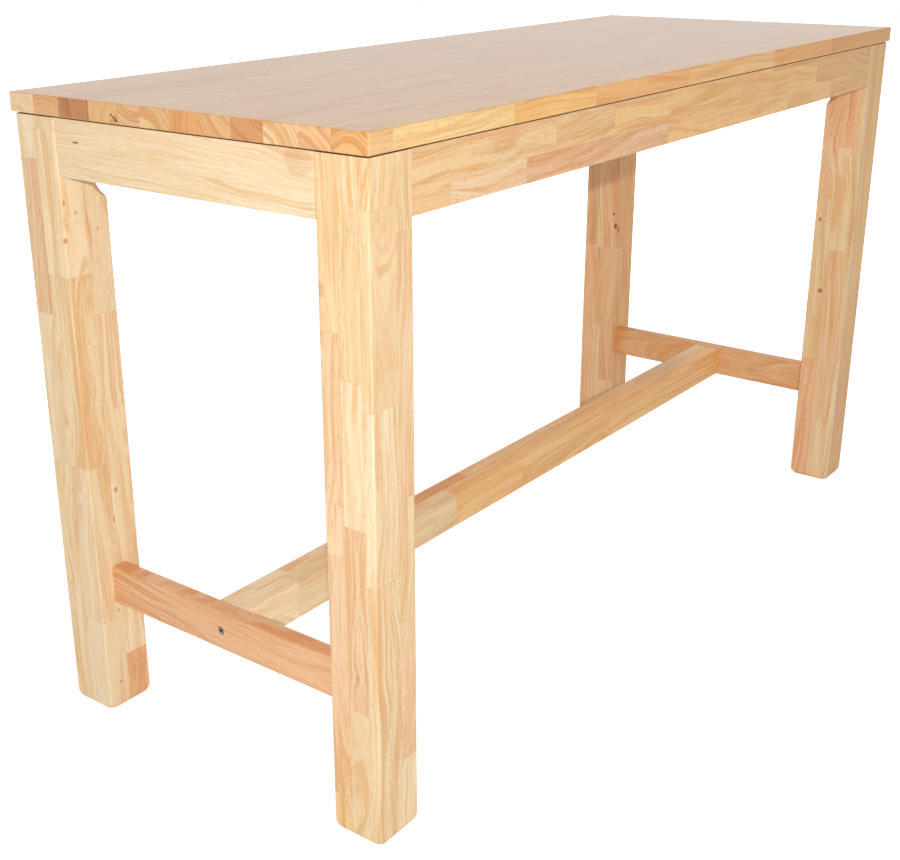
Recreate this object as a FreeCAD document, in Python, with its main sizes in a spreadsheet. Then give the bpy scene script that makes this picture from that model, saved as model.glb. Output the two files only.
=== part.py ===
import FreeCAD, Part
import math
import os
import re

import Sketcher
from FreeCAD import Placement, Rotation, Vector

# Bar table with a straight board top, four square legs, a skirt of four aprons and an H of floor rails.
# Origin: centre of the footprint on the floor. X runs along the table, Y across it, Z up.
# Front is the long side at -Y, left is the short end at -X.

# Sizes of the table, in millimetres
SIZES = [
    # Whole table
    ("table_length", 1800, "over the top board, along X"),
    ("table_width", 700, "over the top board, along Y"),
    ("table_height", 1050, "floor to the upper face of the board"),
    # Top board
    ("top_thickness", 30, "glued-up board"),
    ("top_overhang", 5, "board beyond the outer faces of the legs"),
    ("top_corner_round", 4, "radius of the four upright corners of the board"),
    ("top_edge_round", 3, "radius of the upper and lower edges of the board"),
    # Legs
    ("leg_width", 89, "square section"),
    ("leg_edge_round", 3, "radius of the long edges"),
    ("foot_round", 8, "radius of the edges at the floor"),
    ("foot_ball_radius", 20, "curve that rounds the four corners of the foot, turned about the leg's axis"),
    ("foot_ball_height", 19, "middle of that curve above the floor"),
    ("corner_cut_depth", 21, "flat on the inner edge, measured along the diagonal"),
    ("corner_cut_run", 11, "flat carried on below the aprons"),
    ("corner_cut_radius", 36, "hollow curve that turns the flat out of the leg"),
    ("corner_cut_ease", 14, "rounded curve that brings the hollow one to the leg's edge"),
    # Aprons
    ("apron_height", 90, "skirt under the board"),
    ("apron_thickness", 25, "skirt"),
    ("apron_setback", 1.5, "skirt behind the outer faces of the legs"),
    ("apron_edge_round", 1.5, "radius of the long edges"),
    # End rails and stretcher
    ("rail_centre_height", 234.5, "floor to the middle of the rails and the stretcher"),
    ("rail_height", 68, "end rail"),
    ("rail_thickness", 30, "end rail"),
    ("rail_edge_round", 3.5, "radius of the long edges of rails and stretcher"),
    ("stretcher_height", 65, "long rail between the end rails"),
    ("stretcher_width", 64, "long rail between the end rails"),
    ("tenon_length", 25, "stub tenon of an end rail in a leg"),
    ("tenon_thickness", 16, "stub tenon"),
    ("tenon_height", 44, "stub tenon"),
    # Cross rail under the board
    ("cross_rail_height", 60, "brace between the long aprons"),
    ("cross_rail_thickness", 25, "brace between the long aprons"),
    ("cross_screw_reach", 200, "middle of the brace to its outer screws"),
    # Corner blocks
    ("block_height", 70, "corner block"),
    ("block_thickness", 28, "corner block, along the diagonal"),
    ("block_gap", 2, "room left for drawing the leg in"),
    ("block_edge_round", 2, "radius of the long edges that face the room"),
    ("block_screw_wood", 15, "wood of the block under an apron screw's head"),
    ("block_screw_spread", 40, "between the two apron screws of one end, upright"),
    ("block_top_screw_spread", 76, "between the two upright screws of a block"),
    # Cleats under the board
    ("cleat_length", 120, "batten"),
    ("cleat_width", 25, "square section"),
    ("cleat_edge_round", 2, "radius of the edge that faces the room"),
    ("cleat_reach", 450, "middle of the table to the cleats of a long apron"),
    ("cleat_side_spread", 84, "between the two screws into the apron"),
    ("cleat_top_spread", 36, "between the two screws into the board"),
    # Joint allowances
    ("joint_play", 0.1, "clearance all round a dowel, tenon, screw or bolt"),
    ("joint_end_gap", 1.5, "clearance past the end of a dowel, tenon, screw or bolt"),
    ("cut_overrun", 5, "how far a cut runs past the wood"),
    # Dowels
    ("dowel_diameter", 10, "dowels of the apron joints"),
    ("dowel_length", 50, "dowels of the apron joints"),
    ("dowel_spread", 50, "between the two dowels of one joint"),
    ("pin_diameter", 8, "dowels of the cross rail and the stretcher"),
    ("pin_length", 38, "dowels of the cross rail and the stretcher"),
    ("pin_short_side", 14, "share of that dowel in the thinner piece"),
    ("cross_pin_spread", 32, "between the two dowels at a cross rail's end"),
    ("stretcher_pin_spread", 38, "between the two dowels at a stretcher's end"),
    ("dowel_bevel", 1, "bevelled ends of every dowel"),
    # Hanger bolts of the legs
    ("bolt_diameter", 8, "hanger bolts and connector bolts"),
    ("bolt_hole_play", 0.4, "clearance all round a bolt that passes through wood"),
    ("bolt_bevel", 1, "bevelled end of a bolt"),
    ("hanger_length", 80, "whole bolt"),
    ("hanger_wood_length", 40, "end that is screwed into the leg"),
    ("hanger_tip", 6, "pointed part of that end"),
    ("hanger_spread", 34, "between the two bolts of one leg"),
    ("washer_diameter", 24, "large washer"),
    ("washer_thickness", 2, "large washer"),
    ("nut_flats", 13, "across the flats of the nut"),
    ("nut_thickness", 6.5, "nut"),
    # Connector bolts of the stretcher
    ("connector_length", 80, "under the head"),
    ("connector_head_diameter", 13, "socket head"),
    ("connector_head_height", 8, "socket head"),
    ("connector_key", 6, "across the flats of the socket"),
    ("connector_key_depth", 4, "socket"),
    ("connector_sink", 8.5, "depth of the recess for the head"),
    ("connector_sink_play", 0.5, "clearance all round the head"),
    ("barrel_diameter", 15, "cross nut in the stretcher"),
    ("barrel_length", 40, "cross nut"),
    ("barrel_setback", 48, "end of the stretcher to the middle of the cross nut"),
    ("barrel_slot_width", 1.6, "slot for turning the cross nut into line"),
    ("barrel_slot_depth", 1.5, "slot"),
    # Wood screws
    ("small_screw_diameter", 4, "apron screws of the blocks, and cleat screws"),
    ("small_screw_tip", 5, "pointed part"),
    ("block_screw_length", 35, "under the head"),
    ("cleat_screw_length", 40, "over the head"),
    ("large_screw_diameter", 5, "screws up into the board"),
    ("large_screw_tip", 6, "pointed part"),
    ("large_screw_length", 65, "under the head"),
    ("large_screw_grip", 15, "length of every upright screw in the board"),
    ("head_width_ratio", 2, "head diameter over shank diameter"),
    ("head_height_ratio", 0.6, "pan head height over shank diameter"),
    ("head_round_share", 0.5, "rounded part of a pan head"),
    ("head_sink_play", 0.5, "clearance all round a pan head in its recess"),
    ("recess_width_share", 0.22, "arm of the cross recess over the head diameter"),
    ("recess_length_share", 0.62, "cross recess over the head diameter"),
    ("recess_depth_share", 0.4, "cross recess over the shank diameter"),
]
NAMES = {row[0] for row in SIZES}

# Places worked out from those sizes
TOP_UNDERSIDE = "(table_height - top_thickness)"
FRAME_HALF_LENGTH = "(table_length / 2 - top_overhang)"
FRAME_HALF_WIDTH = "(table_width / 2 - top_overhang)"
LEG_X = f"({FRAME_HALF_LENGTH} - leg_width / 2)"
LEG_Y = f"({FRAME_HALF_WIDTH} - leg_width / 2)"
LONG_SPAN = f"(2 * {FRAME_HALF_LENGTH} - 2 * leg_width)"
SHORT_SPAN = f"(2 * {FRAME_HALF_WIDTH} - 2 * leg_width)"
APRON_MIDDLE = f"({TOP_UNDERSIDE} - apron_height / 2)"
APRON_BACKSET = "(apron_setback + apron_thickness)"
INNER_X = f"({FRAME_HALF_LENGTH} - {APRON_BACKSET})"
INNER_Y = f"({FRAME_HALF_WIDTH} - {APRON_BACKSET})"
APRON_X = f"({FRAME_HALF_LENGTH} - apron_setback - apron_thickness / 2)"
APRON_Y = f"({FRAME_HALF_WIDTH} - apron_setback - apron_thickness / 2)"
STRETCHER_LENGTH = f"(2 * {LEG_X} - rail_thickness)"
DOWEL_HOLE_DEPTH = "(dowel_length / 2 + joint_end_gap)"
PIN_HOLE_SHORT = "(pin_short_side + joint_end_gap)"
PIN_HOLE_LONG = "(pin_length - pin_short_side + joint_end_gap)"
BOLT_HOLE = "(bolt_diameter + 2 * bolt_hole_play)"
DOWEL_HOLE = "(dowel_diameter + 2 * joint_play)"
PIN_HOLE = "(pin_diameter + 2 * joint_play)"
SMALL_SCREW_HOLE = "(small_screw_diameter + 2 * joint_play)"
LARGE_SCREW_HOLE = "(large_screw_diameter + 2 * joint_play)"
SCREW_SEAT = f"({TOP_UNDERSIDE} + large_screw_grip - large_screw_length)"
SMALL_HEAD = "(head_width_ratio * small_screw_diameter)"
LARGE_HEAD = "(head_width_ratio * large_screw_diameter)"
SMALL_HEAD_SINK = f"({SMALL_HEAD} + 2 * head_sink_play)"
LARGE_HEAD_SINK = f"({LARGE_HEAD} + 2 * head_sink_play)"

CROSS_SCREW_STEPS = ("-cross_screw_reach", "0", "cross_screw_reach")

# Places along a leg's diagonal, measured from the leg's axis towards the middle of the table
LEG_TO_APRON = f"(leg_width / 2 - {APRON_BACKSET})"
CUT_FACE = "(leg_width / sqrt(2) - corner_cut_depth)"
BALL_MIDDLE = "(leg_width / sqrt(2) - foot_ball_radius)"
BLOCK_FRONT = f"({CUT_FACE} + block_gap)"
BLOCK_BACK = f"({BLOCK_FRONT} + block_thickness)"
BLOCK_MIDDLE = f"({BLOCK_FRONT} + block_thickness / 2)"
BLOCK_CENTRE_HEIGHT = f"({TOP_UNDERSIDE} - block_height / 2)"
BLOCK_SCREW_REACH = f"({BLOCK_MIDDLE} * sqrt(2) + {LEG_TO_APRON})"
BLOCK_SCREW_SEAT = f"({LEG_TO_APRON} - block_screw_wood)"

# Directions, in degrees
EIGHTH_TURN = 45
QUARTER_TURN = 90
HALF_TURN = 180
FULL_TURN = 360

UP = Vector(0, 0, 1)
ALONG = Vector(1, 0, 0)
ACROSS = Vector(0, 1, 0)
SAME = 1e-6
BALL_START = -70

doc = FreeCAD.newDocument("bar_table")
sheet = doc.addObject("Spreadsheet::Sheet", "Sizes")
for row, (name, size, note) in enumerate(SIZES, 1):
    sheet.set(f"A{row}", name)
    sheet.set(f"B{row}", str(size))
    sheet.set(f"C{row}", note)
    sheet.setAlias(f"B{row}", name)
doc.recompute()

pieces = []


def formula(text):
    """Point every size name of an expression at the sheet."""
    return re.sub(r"[a-z][a-z_]+", lambda word: f"Sizes.{word[0]}" if word[0] in NAMES else word[0], text)


def bind(thing, **formulas):
    """Bind properties to expressions; two underscores in a name stand for a dot."""
    for prop, text in formulas.items():
        thing.setExpression(prop.replace("__", "."), formula(text))


def place(thing, x="0", y="0", z="0", turn=None, prop="Placement"):
    """Put a piece at (x, y, z), turned by a rotation."""
    setattr(thing, prop, Placement(Vector(), turn or Rotation()))
    bind(thing, **{f"{prop}__Base__x": x, f"{prop}__Base__y": y, f"{prop}__Base__z": z})


def facing(side_x, side_y, heading=0):
    """The turn about the upright that brings a heading, in degrees from +X, to a direction given by signs."""
    return Rotation(UP, math.degrees(math.atan2(side_y, side_x)) - heading)


def keep(thing, name):
    """Give a finished piece its name and list it for export."""
    thing.Label = name
    pieces.append(thing)


# Sketches and features of a body


def new_body(name):
    return doc.addObject("PartDesign::Body", name)


def new_sketch(body, name, plane, right="0", up="0", out="0", turn=0):
    """A sketch on an origin plane, moved by (right, up, out) and turned about its upright axis."""
    sketch = body.newObject("Sketcher::SketchObject", name)
    support = next(thing for thing in body.Origin.OriginFeatures if thing.Role == plane)
    sketch.AttachmentSupport = (support, "")
    sketch.MapMode = "FlatFace"
    place(sketch, right, up, out, Rotation(ACROSS, turn), "AttachmentOffset")
    return sketch


def value(text):
    """The present value of an expression."""
    return float(sheet.evalExpression(formula(text)))


def measure(sketch, name, kind, ends, text):
    """Add a dimension that follows an expression."""
    index = sketch.addConstraint(Sketcher.Constraint(kind, *ends, value(text)))
    sketch.renameConstraint(index, name)
    sketch.setExpression(f"Constraints.{name}", formula(text))


def draw_loop(sketch, corners):
    """Draw a closed outline of straight lines through points of a unit shape."""
    count = len(corners)
    for index, corner in enumerate(corners):
        sketch.addGeometry(Part.LineSegment(Vector(*corner), Vector(*corners[(index + 1) % count])), False)
    for index in range(count):
        sketch.addConstraint(Sketcher.Constraint("Coincident", index, 2, (index + 1) % count, 1))


def draw_rectangle(sketch, width, height):
    """A rectangle about the sketch's origin."""
    draw_loop(sketch, [(-1, -1), (1, -1), (1, 1), (-1, 1)])
    for index in range(4):
        sketch.addConstraint(Sketcher.Constraint("Vertical" if index % 2 else "Horizontal", index))
    sketch.addConstraint(Sketcher.Constraint("Symmetric", 0, 1, 1, 2, -1, 1))
    measure(sketch, "width", "DistanceX", (0, 1, 0, 2), width)
    measure(sketch, "height", "DistanceY", (1, 1, 1, 2), height)


def draw_circles(sketch, diameter, places):
    """Circles of one diameter at a list of (right, up) places."""
    for number, (right, up) in enumerate(places):
        circle = sketch.addGeometry(Part.Circle(Vector(), UP, 1), False)
        measure(sketch, f"diameter_{number}", "Diameter", (circle,), diameter)
        measure(sketch, f"right_{number}", "DistanceX", (-1, 1, circle, 3), right)
        measure(sketch, f"up_{number}", "DistanceY", (-1, 1, circle, 3), up)


def draw_arc(sketch, name, right, up, radius, start, end):
    """An arc between two angles in degrees, with its middle at (right, up)."""
    circle = Part.Circle(Vector(value(right), value(up)), UP, value(radius))
    arc = sketch.addGeometry(Part.ArcOfCircle(circle, math.radians(start), math.radians(end)), False)
    measure(sketch, f"{name}_radius", "Radius", (arc,), radius)
    measure(sketch, f"{name}_right", "DistanceX", (-1, 1, arc, 3), right)
    return arc


def close_outward(sketch, low, high, reach):
    """Close an outline from its low end to its high end with three lines, out to a distance on the right."""
    bottom = sketch.getPoint(*low)
    top = sketch.getPoint(*high)
    corners = [bottom, Vector(value(reach), bottom.y), Vector(value(reach), top.y), top]
    lines = [sketch.addGeometry(Part.LineSegment(*ends), False) for ends in zip(corners, corners[1:])]
    joints = [(*low, lines[0], 1), (lines[0], 2, lines[1], 1), (lines[1], 2, lines[2], 1), (lines[2], 2, *high)]
    for joint in joints:
        sketch.addConstraint(Sketcher.Constraint("Coincident", *joint))
    for line, lie in zip(lines, ("Horizontal", "Vertical", "Horizontal")):
        sketch.addConstraint(Sketcher.Constraint(lie, line))
    measure(sketch, "reach", "DistanceX", (-1, 1, lines[1], 1), reach)


def raise_pad(body, name, sketch, length, middle=False):
    """Extrude a sketch, to one side or about its plane."""
    pad = body.newObject("PartDesign::Pad", name)
    pad.Profile = sketch
    pad.SideType = "Symmetric" if middle else "One side"
    bind(pad, Length=length)
    doc.recompute()


def sink_pocket(body, name, sketch, depth, outward=False, middle=False):
    """Cut a sketch's outline, against its normal unless outward is set, and make sure that it cuts."""
    before = body.Shape.Volume
    pocket = body.newObject("PartDesign::Pocket", name)
    pocket.Profile = sketch
    pocket.SideType = "Symmetric" if middle else "One side"
    pocket.Reversed = outward
    bind(pocket, Length=depth)
    doc.recompute()
    if body.Shape.Volume >= before:
        raise RuntimeError(f"{body.Name}: {name} cuts nothing")


def turn_away(body, name, sketch):
    """Cut a sketch turned once round its own upright axis, and make sure that it cuts."""
    before = body.Shape.Volume
    groove = body.newObject("PartDesign::Groove", name)
    groove.Profile = sketch
    groove.ReferenceAxis = (sketch, ["V_Axis"])
    groove.Angle = FULL_TURN
    doc.recompute()
    if body.Shape.Volume >= before:
        raise RuntimeError(f"{body.Name}: {name} cuts nothing")


def round_edges(body, name, radius, wanted):
    """Fillet the edges of a body that a test picks."""
    base = body.Tip
    edges = [f"Edge{number}" for number, edge in enumerate(base.Shape.Edges, 1) if wanted(edge)]
    fillet = body.newObject("PartDesign::Fillet", name)
    fillet.Base = (base, edges)
    bind(fillet, Radius=radius)
    doc.recompute()


def runs_along(edge, direction):
    """True for a straight edge parallel to a direction."""
    box = edge.BoundBox
    spans = Vector(box.XLength, box.YLength, box.ZLength)
    return spans.Length - abs(spans.dot(direction)) < SAME


def drill(body, name, plane, diameter, places, depth, outward=False, **where):
    """Round holes from a plane into a body."""
    sketch = new_sketch(body, f"{name}_sketch", plane, **where)
    draw_circles(sketch, diameter, places)
    sink_pocket(body, name, sketch, depth, outward)


def plank(name, length, thickness, height, radius):
    """A board along X about its own middle, with its long edges rounded. Its -Y face is the outer one."""
    body = new_body(name)
    section = new_sketch(body, f"{name}_section", "YZ_Plane")
    draw_rectangle(section, thickness, height)
    raise_pad(body, f"{name}_blank", section, length, middle=True)
    round_edges(body, f"{name}_edges", radius, lambda edge: runs_along(edge, ALONG))
    return body


def drill_ends(body, name, half_length, diameter, places, depth):
    """The same holes in both ends of a plank."""
    drill(body, f"{name}_right", "YZ_Plane", diameter, places, depth, out=half_length)
    drill(body, f"{name}_left", "YZ_Plane", diameter, places, depth, outward=True, out=f"-{half_length}")


def pair(spread, other="0", upright=False):
    """Two places a spread apart, on the horizontal or the upright line."""
    sides = [f"-{spread} / 2", f"{spread} / 2"]
    return [(other, side) if upright else (side, other) for side in sides]


# Top board


def add_tabletop():
    board = new_body("tabletop")
    outline = new_sketch(board, "tabletop_outline", "XY_Plane")
    draw_rectangle(outline, "table_length", "table_width")
    raise_pad(board, "tabletop_blank", outline, "top_thickness")
    round_edges(board, "tabletop_corners", "top_corner_round", lambda edge: runs_along(edge, UP))
    round_edges(board, "tabletop_edges", "top_edge_round", lambda edge: edge.BoundBox.ZLength < SAME)
    depth = "large_screw_grip + joint_end_gap"
    drill(board, "cleat_pilots", "XY_Plane", SMALL_SCREW_HOLE, cleat_screw_places(), depth, outward=True)
    drill(board, "screw_pilots", "XY_Plane", LARGE_SCREW_HOLE, top_screw_places(), depth, outward=True)
    place(board, z=TOP_UNDERSIDE)
    keep(board, "tabletop")


# Legs and their corner frames

CORNERS = [
    ("front_left", -1, -1),
    ("front_right", 1, -1),
    ("back_right", 1, 1),
    ("back_left", -1, 1),
]


def corner_place(side_x, side_y, inward, sideways="0"):
    """A place near a leg: inward along the diagonal from the leg's axis, and sideways from it."""
    x = f"{side_x} * {LEG_X} + ({-side_x} * {inward} + {side_y} * ({sideways})) / sqrt(2)"
    y = f"{side_y} * {LEG_Y} + ({-side_y} * {inward} + {-side_x} * ({sideways})) / sqrt(2)"
    return x, y


def add_leg(corner, side_x, side_y):
    """A leg, upright about its own axis, with its inner edge at +X +Y until it is turned to its corner."""
    name = f"leg_{corner}"
    leg = new_body(name)
    section = new_sketch(leg, f"{name}_section", "XY_Plane")
    draw_rectangle(section, "leg_width", "leg_width")
    raise_pad(leg, f"{name}_blank", section, TOP_UNDERSIDE)
    round_edges(leg, f"{name}_foot", "foot_round", lambda edge: edge.BoundBox.ZMax < SAME)
    round_edges(leg, f"{name}_edges", "leg_edge_round", lambda edge: runs_along(edge, UP))

    # Corners of the foot, rounded by a curve that starts a little inside the floor face
    ball = new_sketch(leg, f"{name}_ball_sketch", "XZ_Plane")
    curve = draw_arc(ball, "ball", BALL_MIDDLE, "foot_ball_height", "foot_ball_radius", BALL_START, 0)
    ball.addConstraint(Sketcher.Constraint("PointOnObject", curve, 1, -1))
    ball.addConstraint(Sketcher.Constraint("Horizontal", curve, 2, curve, 3))
    measure(ball, "ball_up", "DistanceY", (-1, 1, curve, 3), "foot_ball_height")
    close_outward(ball, (curve, 1), (curve, 2), "leg_width")
    turn_away(leg, f"{name}_ball", ball)

    # Flat across the inner edge, from the top to just below the aprons
    flat_length = "(apron_height + corner_cut_run)"
    flat = new_sketch(
        leg,
        f"{name}_flat_sketch",
        "XZ_Plane",
        right=f"({CUT_FACE} + (corner_cut_depth + cut_overrun) / 2) / sqrt(2)",
        up=f"{TOP_UNDERSIDE} - {flat_length} / 2 + cut_overrun / 2",
        out=f"-({CUT_FACE} + (corner_cut_depth + cut_overrun) / 2) / sqrt(2)",
        turn=EIGHTH_TURN,
    )
    draw_rectangle(flat, "corner_cut_depth + cut_overrun", f"{flat_length} + cut_overrun")
    sink_pocket(leg, f"{name}_flat", flat, "2 * leg_width", middle=True)

    # Its run-out: a hollow curve out of the flat, then a rounded one into the leg's edge
    flat_end = f"({TOP_UNDERSIDE} - {flat_length})"
    reach = "(corner_cut_radius + corner_cut_ease)"
    slope = f"acos(1 - corner_cut_depth / {reach})"
    lean = value(slope)
    run_out = new_sketch(leg, f"{name}_run_out_sketch", "XZ_Plane", turn=EIGHTH_TURN)
    hollow = draw_arc(
        run_out,
        "hollow",
        f"{CUT_FACE} + corner_cut_radius",
        flat_end,
        "corner_cut_radius",
        HALF_TURN,
        HALF_TURN + lean,
    )
    eased = draw_arc(
        run_out,
        "eased",
        "leg_width / sqrt(2) - corner_cut_ease",
        f"{flat_end} - {reach} * sin({slope})",
        "corner_cut_ease",
        0,
        lean,
    )
    measure(run_out, "hollow_up", "DistanceY", (-1, 1, hollow, 3), flat_end)
    run_out.addConstraint(Sketcher.Constraint("Horizontal", hollow, 1, hollow, 3))
    run_out.addConstraint(Sketcher.Constraint("Horizontal", eased, 1, eased, 3))
    run_out.addConstraint(Sketcher.Constraint("Tangent", hollow, 2, eased, 2))
    close_outward(run_out, (eased, 1), (hollow, 1), "leg_width + corner_cut_radius")
    sink_pocket(leg, f"{name}_run_out", run_out, "2 * leg_width", middle=True)

    # Hanger bolt holes, from the leg's axis out to the flat
    drill(
        leg,
        f"{name}_bolt_holes",
        "YZ_Plane",
        "bolt_diameter + 2 * joint_play",
        pair("hanger_spread", upright=True),
        "leg_width",
        outward=True,
        up=BLOCK_CENTRE_HEIGHT,
        turn=EIGHTH_TURN,
    )

    # Dowel holes for the two aprons
    dowels = pair("dowel_spread", upright=True)
    back = "-(leg_width - apron_thickness) / 2 + apron_setback"
    drill(
        leg,
        f"{name}_dowel_holes_x",
        "YZ_Plane",
        DOWEL_HOLE,
        dowels,
        DOWEL_HOLE_DEPTH,
        right=back,
        up=APRON_MIDDLE,
        out="leg_width / 2",
    )
    drill(
        leg,
        f"{name}_dowel_holes_y",
        "XZ_Plane",
        DOWEL_HOLE,
        dowels,
        DOWEL_HOLE_DEPTH,
        outward=True,
        right=back,
        up=APRON_MIDDLE,
        out="-leg_width / 2",
    )

    # Mortise for the end rail, in the face that looks at the other leg of that end
    faces_y = side_x == side_y
    mortise = new_sketch(
        leg,
        f"{name}_mortise_sketch",
        "XZ_Plane" if faces_y else "YZ_Plane",
        up="rail_centre_height",
        out="-leg_width / 2" if faces_y else "leg_width / 2",
    )
    draw_rectangle(mortise, "tenon_thickness + 2 * joint_play", "tenon_height + 2 * joint_play")
    sink_pocket(leg, f"{name}_mortise", mortise, "tenon_length + joint_end_gap", outward=faces_y)

    place(leg, f"{side_x} * {LEG_X}", f"{side_y} * {LEG_Y}", turn=facing(-side_x, -side_y, EIGHTH_TURN))
    keep(leg, name)


# Aprons

SIDES = [
    ("front", 0, -1),
    ("back", 0, 1),
    ("left", -1, 0),
    ("right", 1, 0),
]


def add_apron(side, side_x, side_y):
    """An apron along X, with its outer face at -Y until it is turned to its side of the table."""
    name = f"apron_{side}"
    is_long = side_y != 0
    span = LONG_SPAN if is_long else SHORT_SPAN
    apron = plank(name, span, "apron_thickness", "apron_height", "apron_edge_round")
    dowels = pair("dowel_spread", upright=True)
    drill_ends(apron, f"{name}_dowel_holes", f"{span} / 2", DOWEL_HOLE, dowels, DOWEL_HOLE_DEPTH)

    # Screw holes of the corner blocks and the cleats, in the inner face
    leg_axis = LEG_X if is_long else LEG_Y
    block_up = "(apron_height - block_height) / 2"
    screws = [
        (f"{end} * ({leg_axis} - {BLOCK_SCREW_REACH})", f"{block_up} + {row} * block_screw_spread / 2")
        for end in (-1, 1)
        for row in (-1, 1)
    ]
    inward = {"outward": True, "out": "-apron_thickness / 2"}
    screw_depth = "block_screw_length - block_screw_wood + joint_end_gap"
    drill(apron, f"{name}_block_pilots", "XZ_Plane", SMALL_SCREW_HOLE, screws, screw_depth, **inward)
    middles = ("-cleat_reach", "cleat_reach") if is_long else ("0",)
    cleat_up = "(apron_height - cleat_width) / 2"
    cleat_screws = [
        (f"{middle} + {end} * cleat_side_spread / 2", cleat_up)
        for middle in middles
        for end in (-1, 1)
    ]
    cleat_depth = "cleat_screw_length - cleat_width + joint_end_gap"
    drill(apron, f"{name}_cleat_pilots", "XZ_Plane", SMALL_SCREW_HOLE, cleat_screws, cleat_depth, **inward)

    # Dowel holes of the cross rail
    if is_long:
        pins = pair("cross_pin_spread", upright=True)
        rail_up = "(apron_height - cross_rail_height) / 2"
        drill(apron, f"{name}_pin_holes", "XZ_Plane", PIN_HOLE, pins, PIN_HOLE_SHORT, up=rail_up, **inward)
    turn = facing(side_x, side_y, -QUARTER_TURN)
    place(apron, f"{side_x} * {APRON_X}", f"{side_y} * {APRON_Y}", APRON_MIDDLE, turn)
    keep(apron, name)


# End rails, stretcher and cross rail


def add_end_rail(side, side_x):
    """A rail between two legs, with stub tenons, and the stretcher's bolt in its middle."""
    name = f"end_rail_{side}"
    rail = plank(name, SHORT_SPAN, "rail_thickness", "rail_height", "rail_edge_round")
    tenons = new_sketch(rail, f"{name}_tenon_section", "YZ_Plane")
    draw_rectangle(tenons, "tenon_thickness", "tenon_height")
    raise_pad(rail, f"{name}_tenons", tenons, f"{SHORT_SPAN} + 2 * tenon_length", middle=True)
    outer_face = "rail_thickness / 2"
    sink = "connector_head_diameter + 2 * connector_sink_play"
    middle = [("0", "0")]
    drill(rail, f"{name}_bolt_hole", "XZ_Plane", BOLT_HOLE, middle, "rail_thickness", out=outer_face)
    drill(rail, f"{name}_head_recess", "XZ_Plane", sink, middle, "connector_sink", out=outer_face)
    pins = pair("stretcher_pin_spread")
    inner_face = "-rail_thickness / 2"
    drill(rail, f"{name}_pin_holes", "XZ_Plane", PIN_HOLE, pins, PIN_HOLE_SHORT, outward=True, out=inner_face)
    place(rail, f"{side_x} * {LEG_X}", "0", "rail_centre_height", facing(side_x, 0, -QUARTER_TURN))
    keep(rail, name)


def add_stretcher():
    """The long rail between the end rails, with holes for dowels, bolts and cross nuts."""
    rail = plank("stretcher", STRETCHER_LENGTH, "stretcher_width", "stretcher_height", "rail_edge_round")
    half = f"{STRETCHER_LENGTH} / 2"
    bolt_depth = "connector_length - (rail_thickness - connector_sink) + joint_end_gap"
    drill_ends(rail, "stretcher_pin_holes", half, PIN_HOLE, pair("stretcher_pin_spread"), PIN_HOLE_LONG)
    drill_ends(rail, "stretcher_bolt_holes", half, BOLT_HOLE, [("0", "0")], bolt_depth)
    nuts = [(f"{end} * ({half} - barrel_setback)", "0") for end in (-1, 1)]
    nut_hole = "barrel_diameter + 2 * joint_play"
    nut_depth = "(stretcher_height + barrel_length) / 2 + joint_end_gap"
    bottom = "-stretcher_height / 2"
    drill(rail, "stretcher_nut_holes", "XY_Plane", nut_hole, nuts, nut_depth, outward=True, out=bottom)
    place(rail, z="rail_centre_height")
    keep(rail, "stretcher")


def add_cross_rail():
    """The brace under the middle of the board, between the long aprons."""
    span = f"(2 * {INNER_Y})"
    rail = plank("cross_rail", span, "cross_rail_thickness", "cross_rail_height", "apron_edge_round")
    pins = pair("cross_pin_spread", upright=True)
    drill_ends(rail, "cross_rail_pin_holes", f"{span} / 2", PIN_HOLE, pins, PIN_HOLE_LONG)
    screws = [(step, "0") for step in CROSS_SCREW_STEPS]
    upward = {"outward": True, "out": "-cross_rail_height / 2"}
    sink_depth = f"{SCREW_SEAT} - ({TOP_UNDERSIDE} - cross_rail_height)"
    drill(rail, "cross_rail_screw_holes", "XY_Plane", LARGE_SCREW_HOLE, screws, "cross_rail_height", **upward)
    drill(rail, "cross_rail_head_recesses", "XY_Plane", LARGE_HEAD_SINK, screws, sink_depth, **upward)
    place(rail, z=f"{TOP_UNDERSIDE} - cross_rail_height / 2", turn=facing(0, 1))
    keep(rail, "cross_rail")


# Corner blocks


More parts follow.
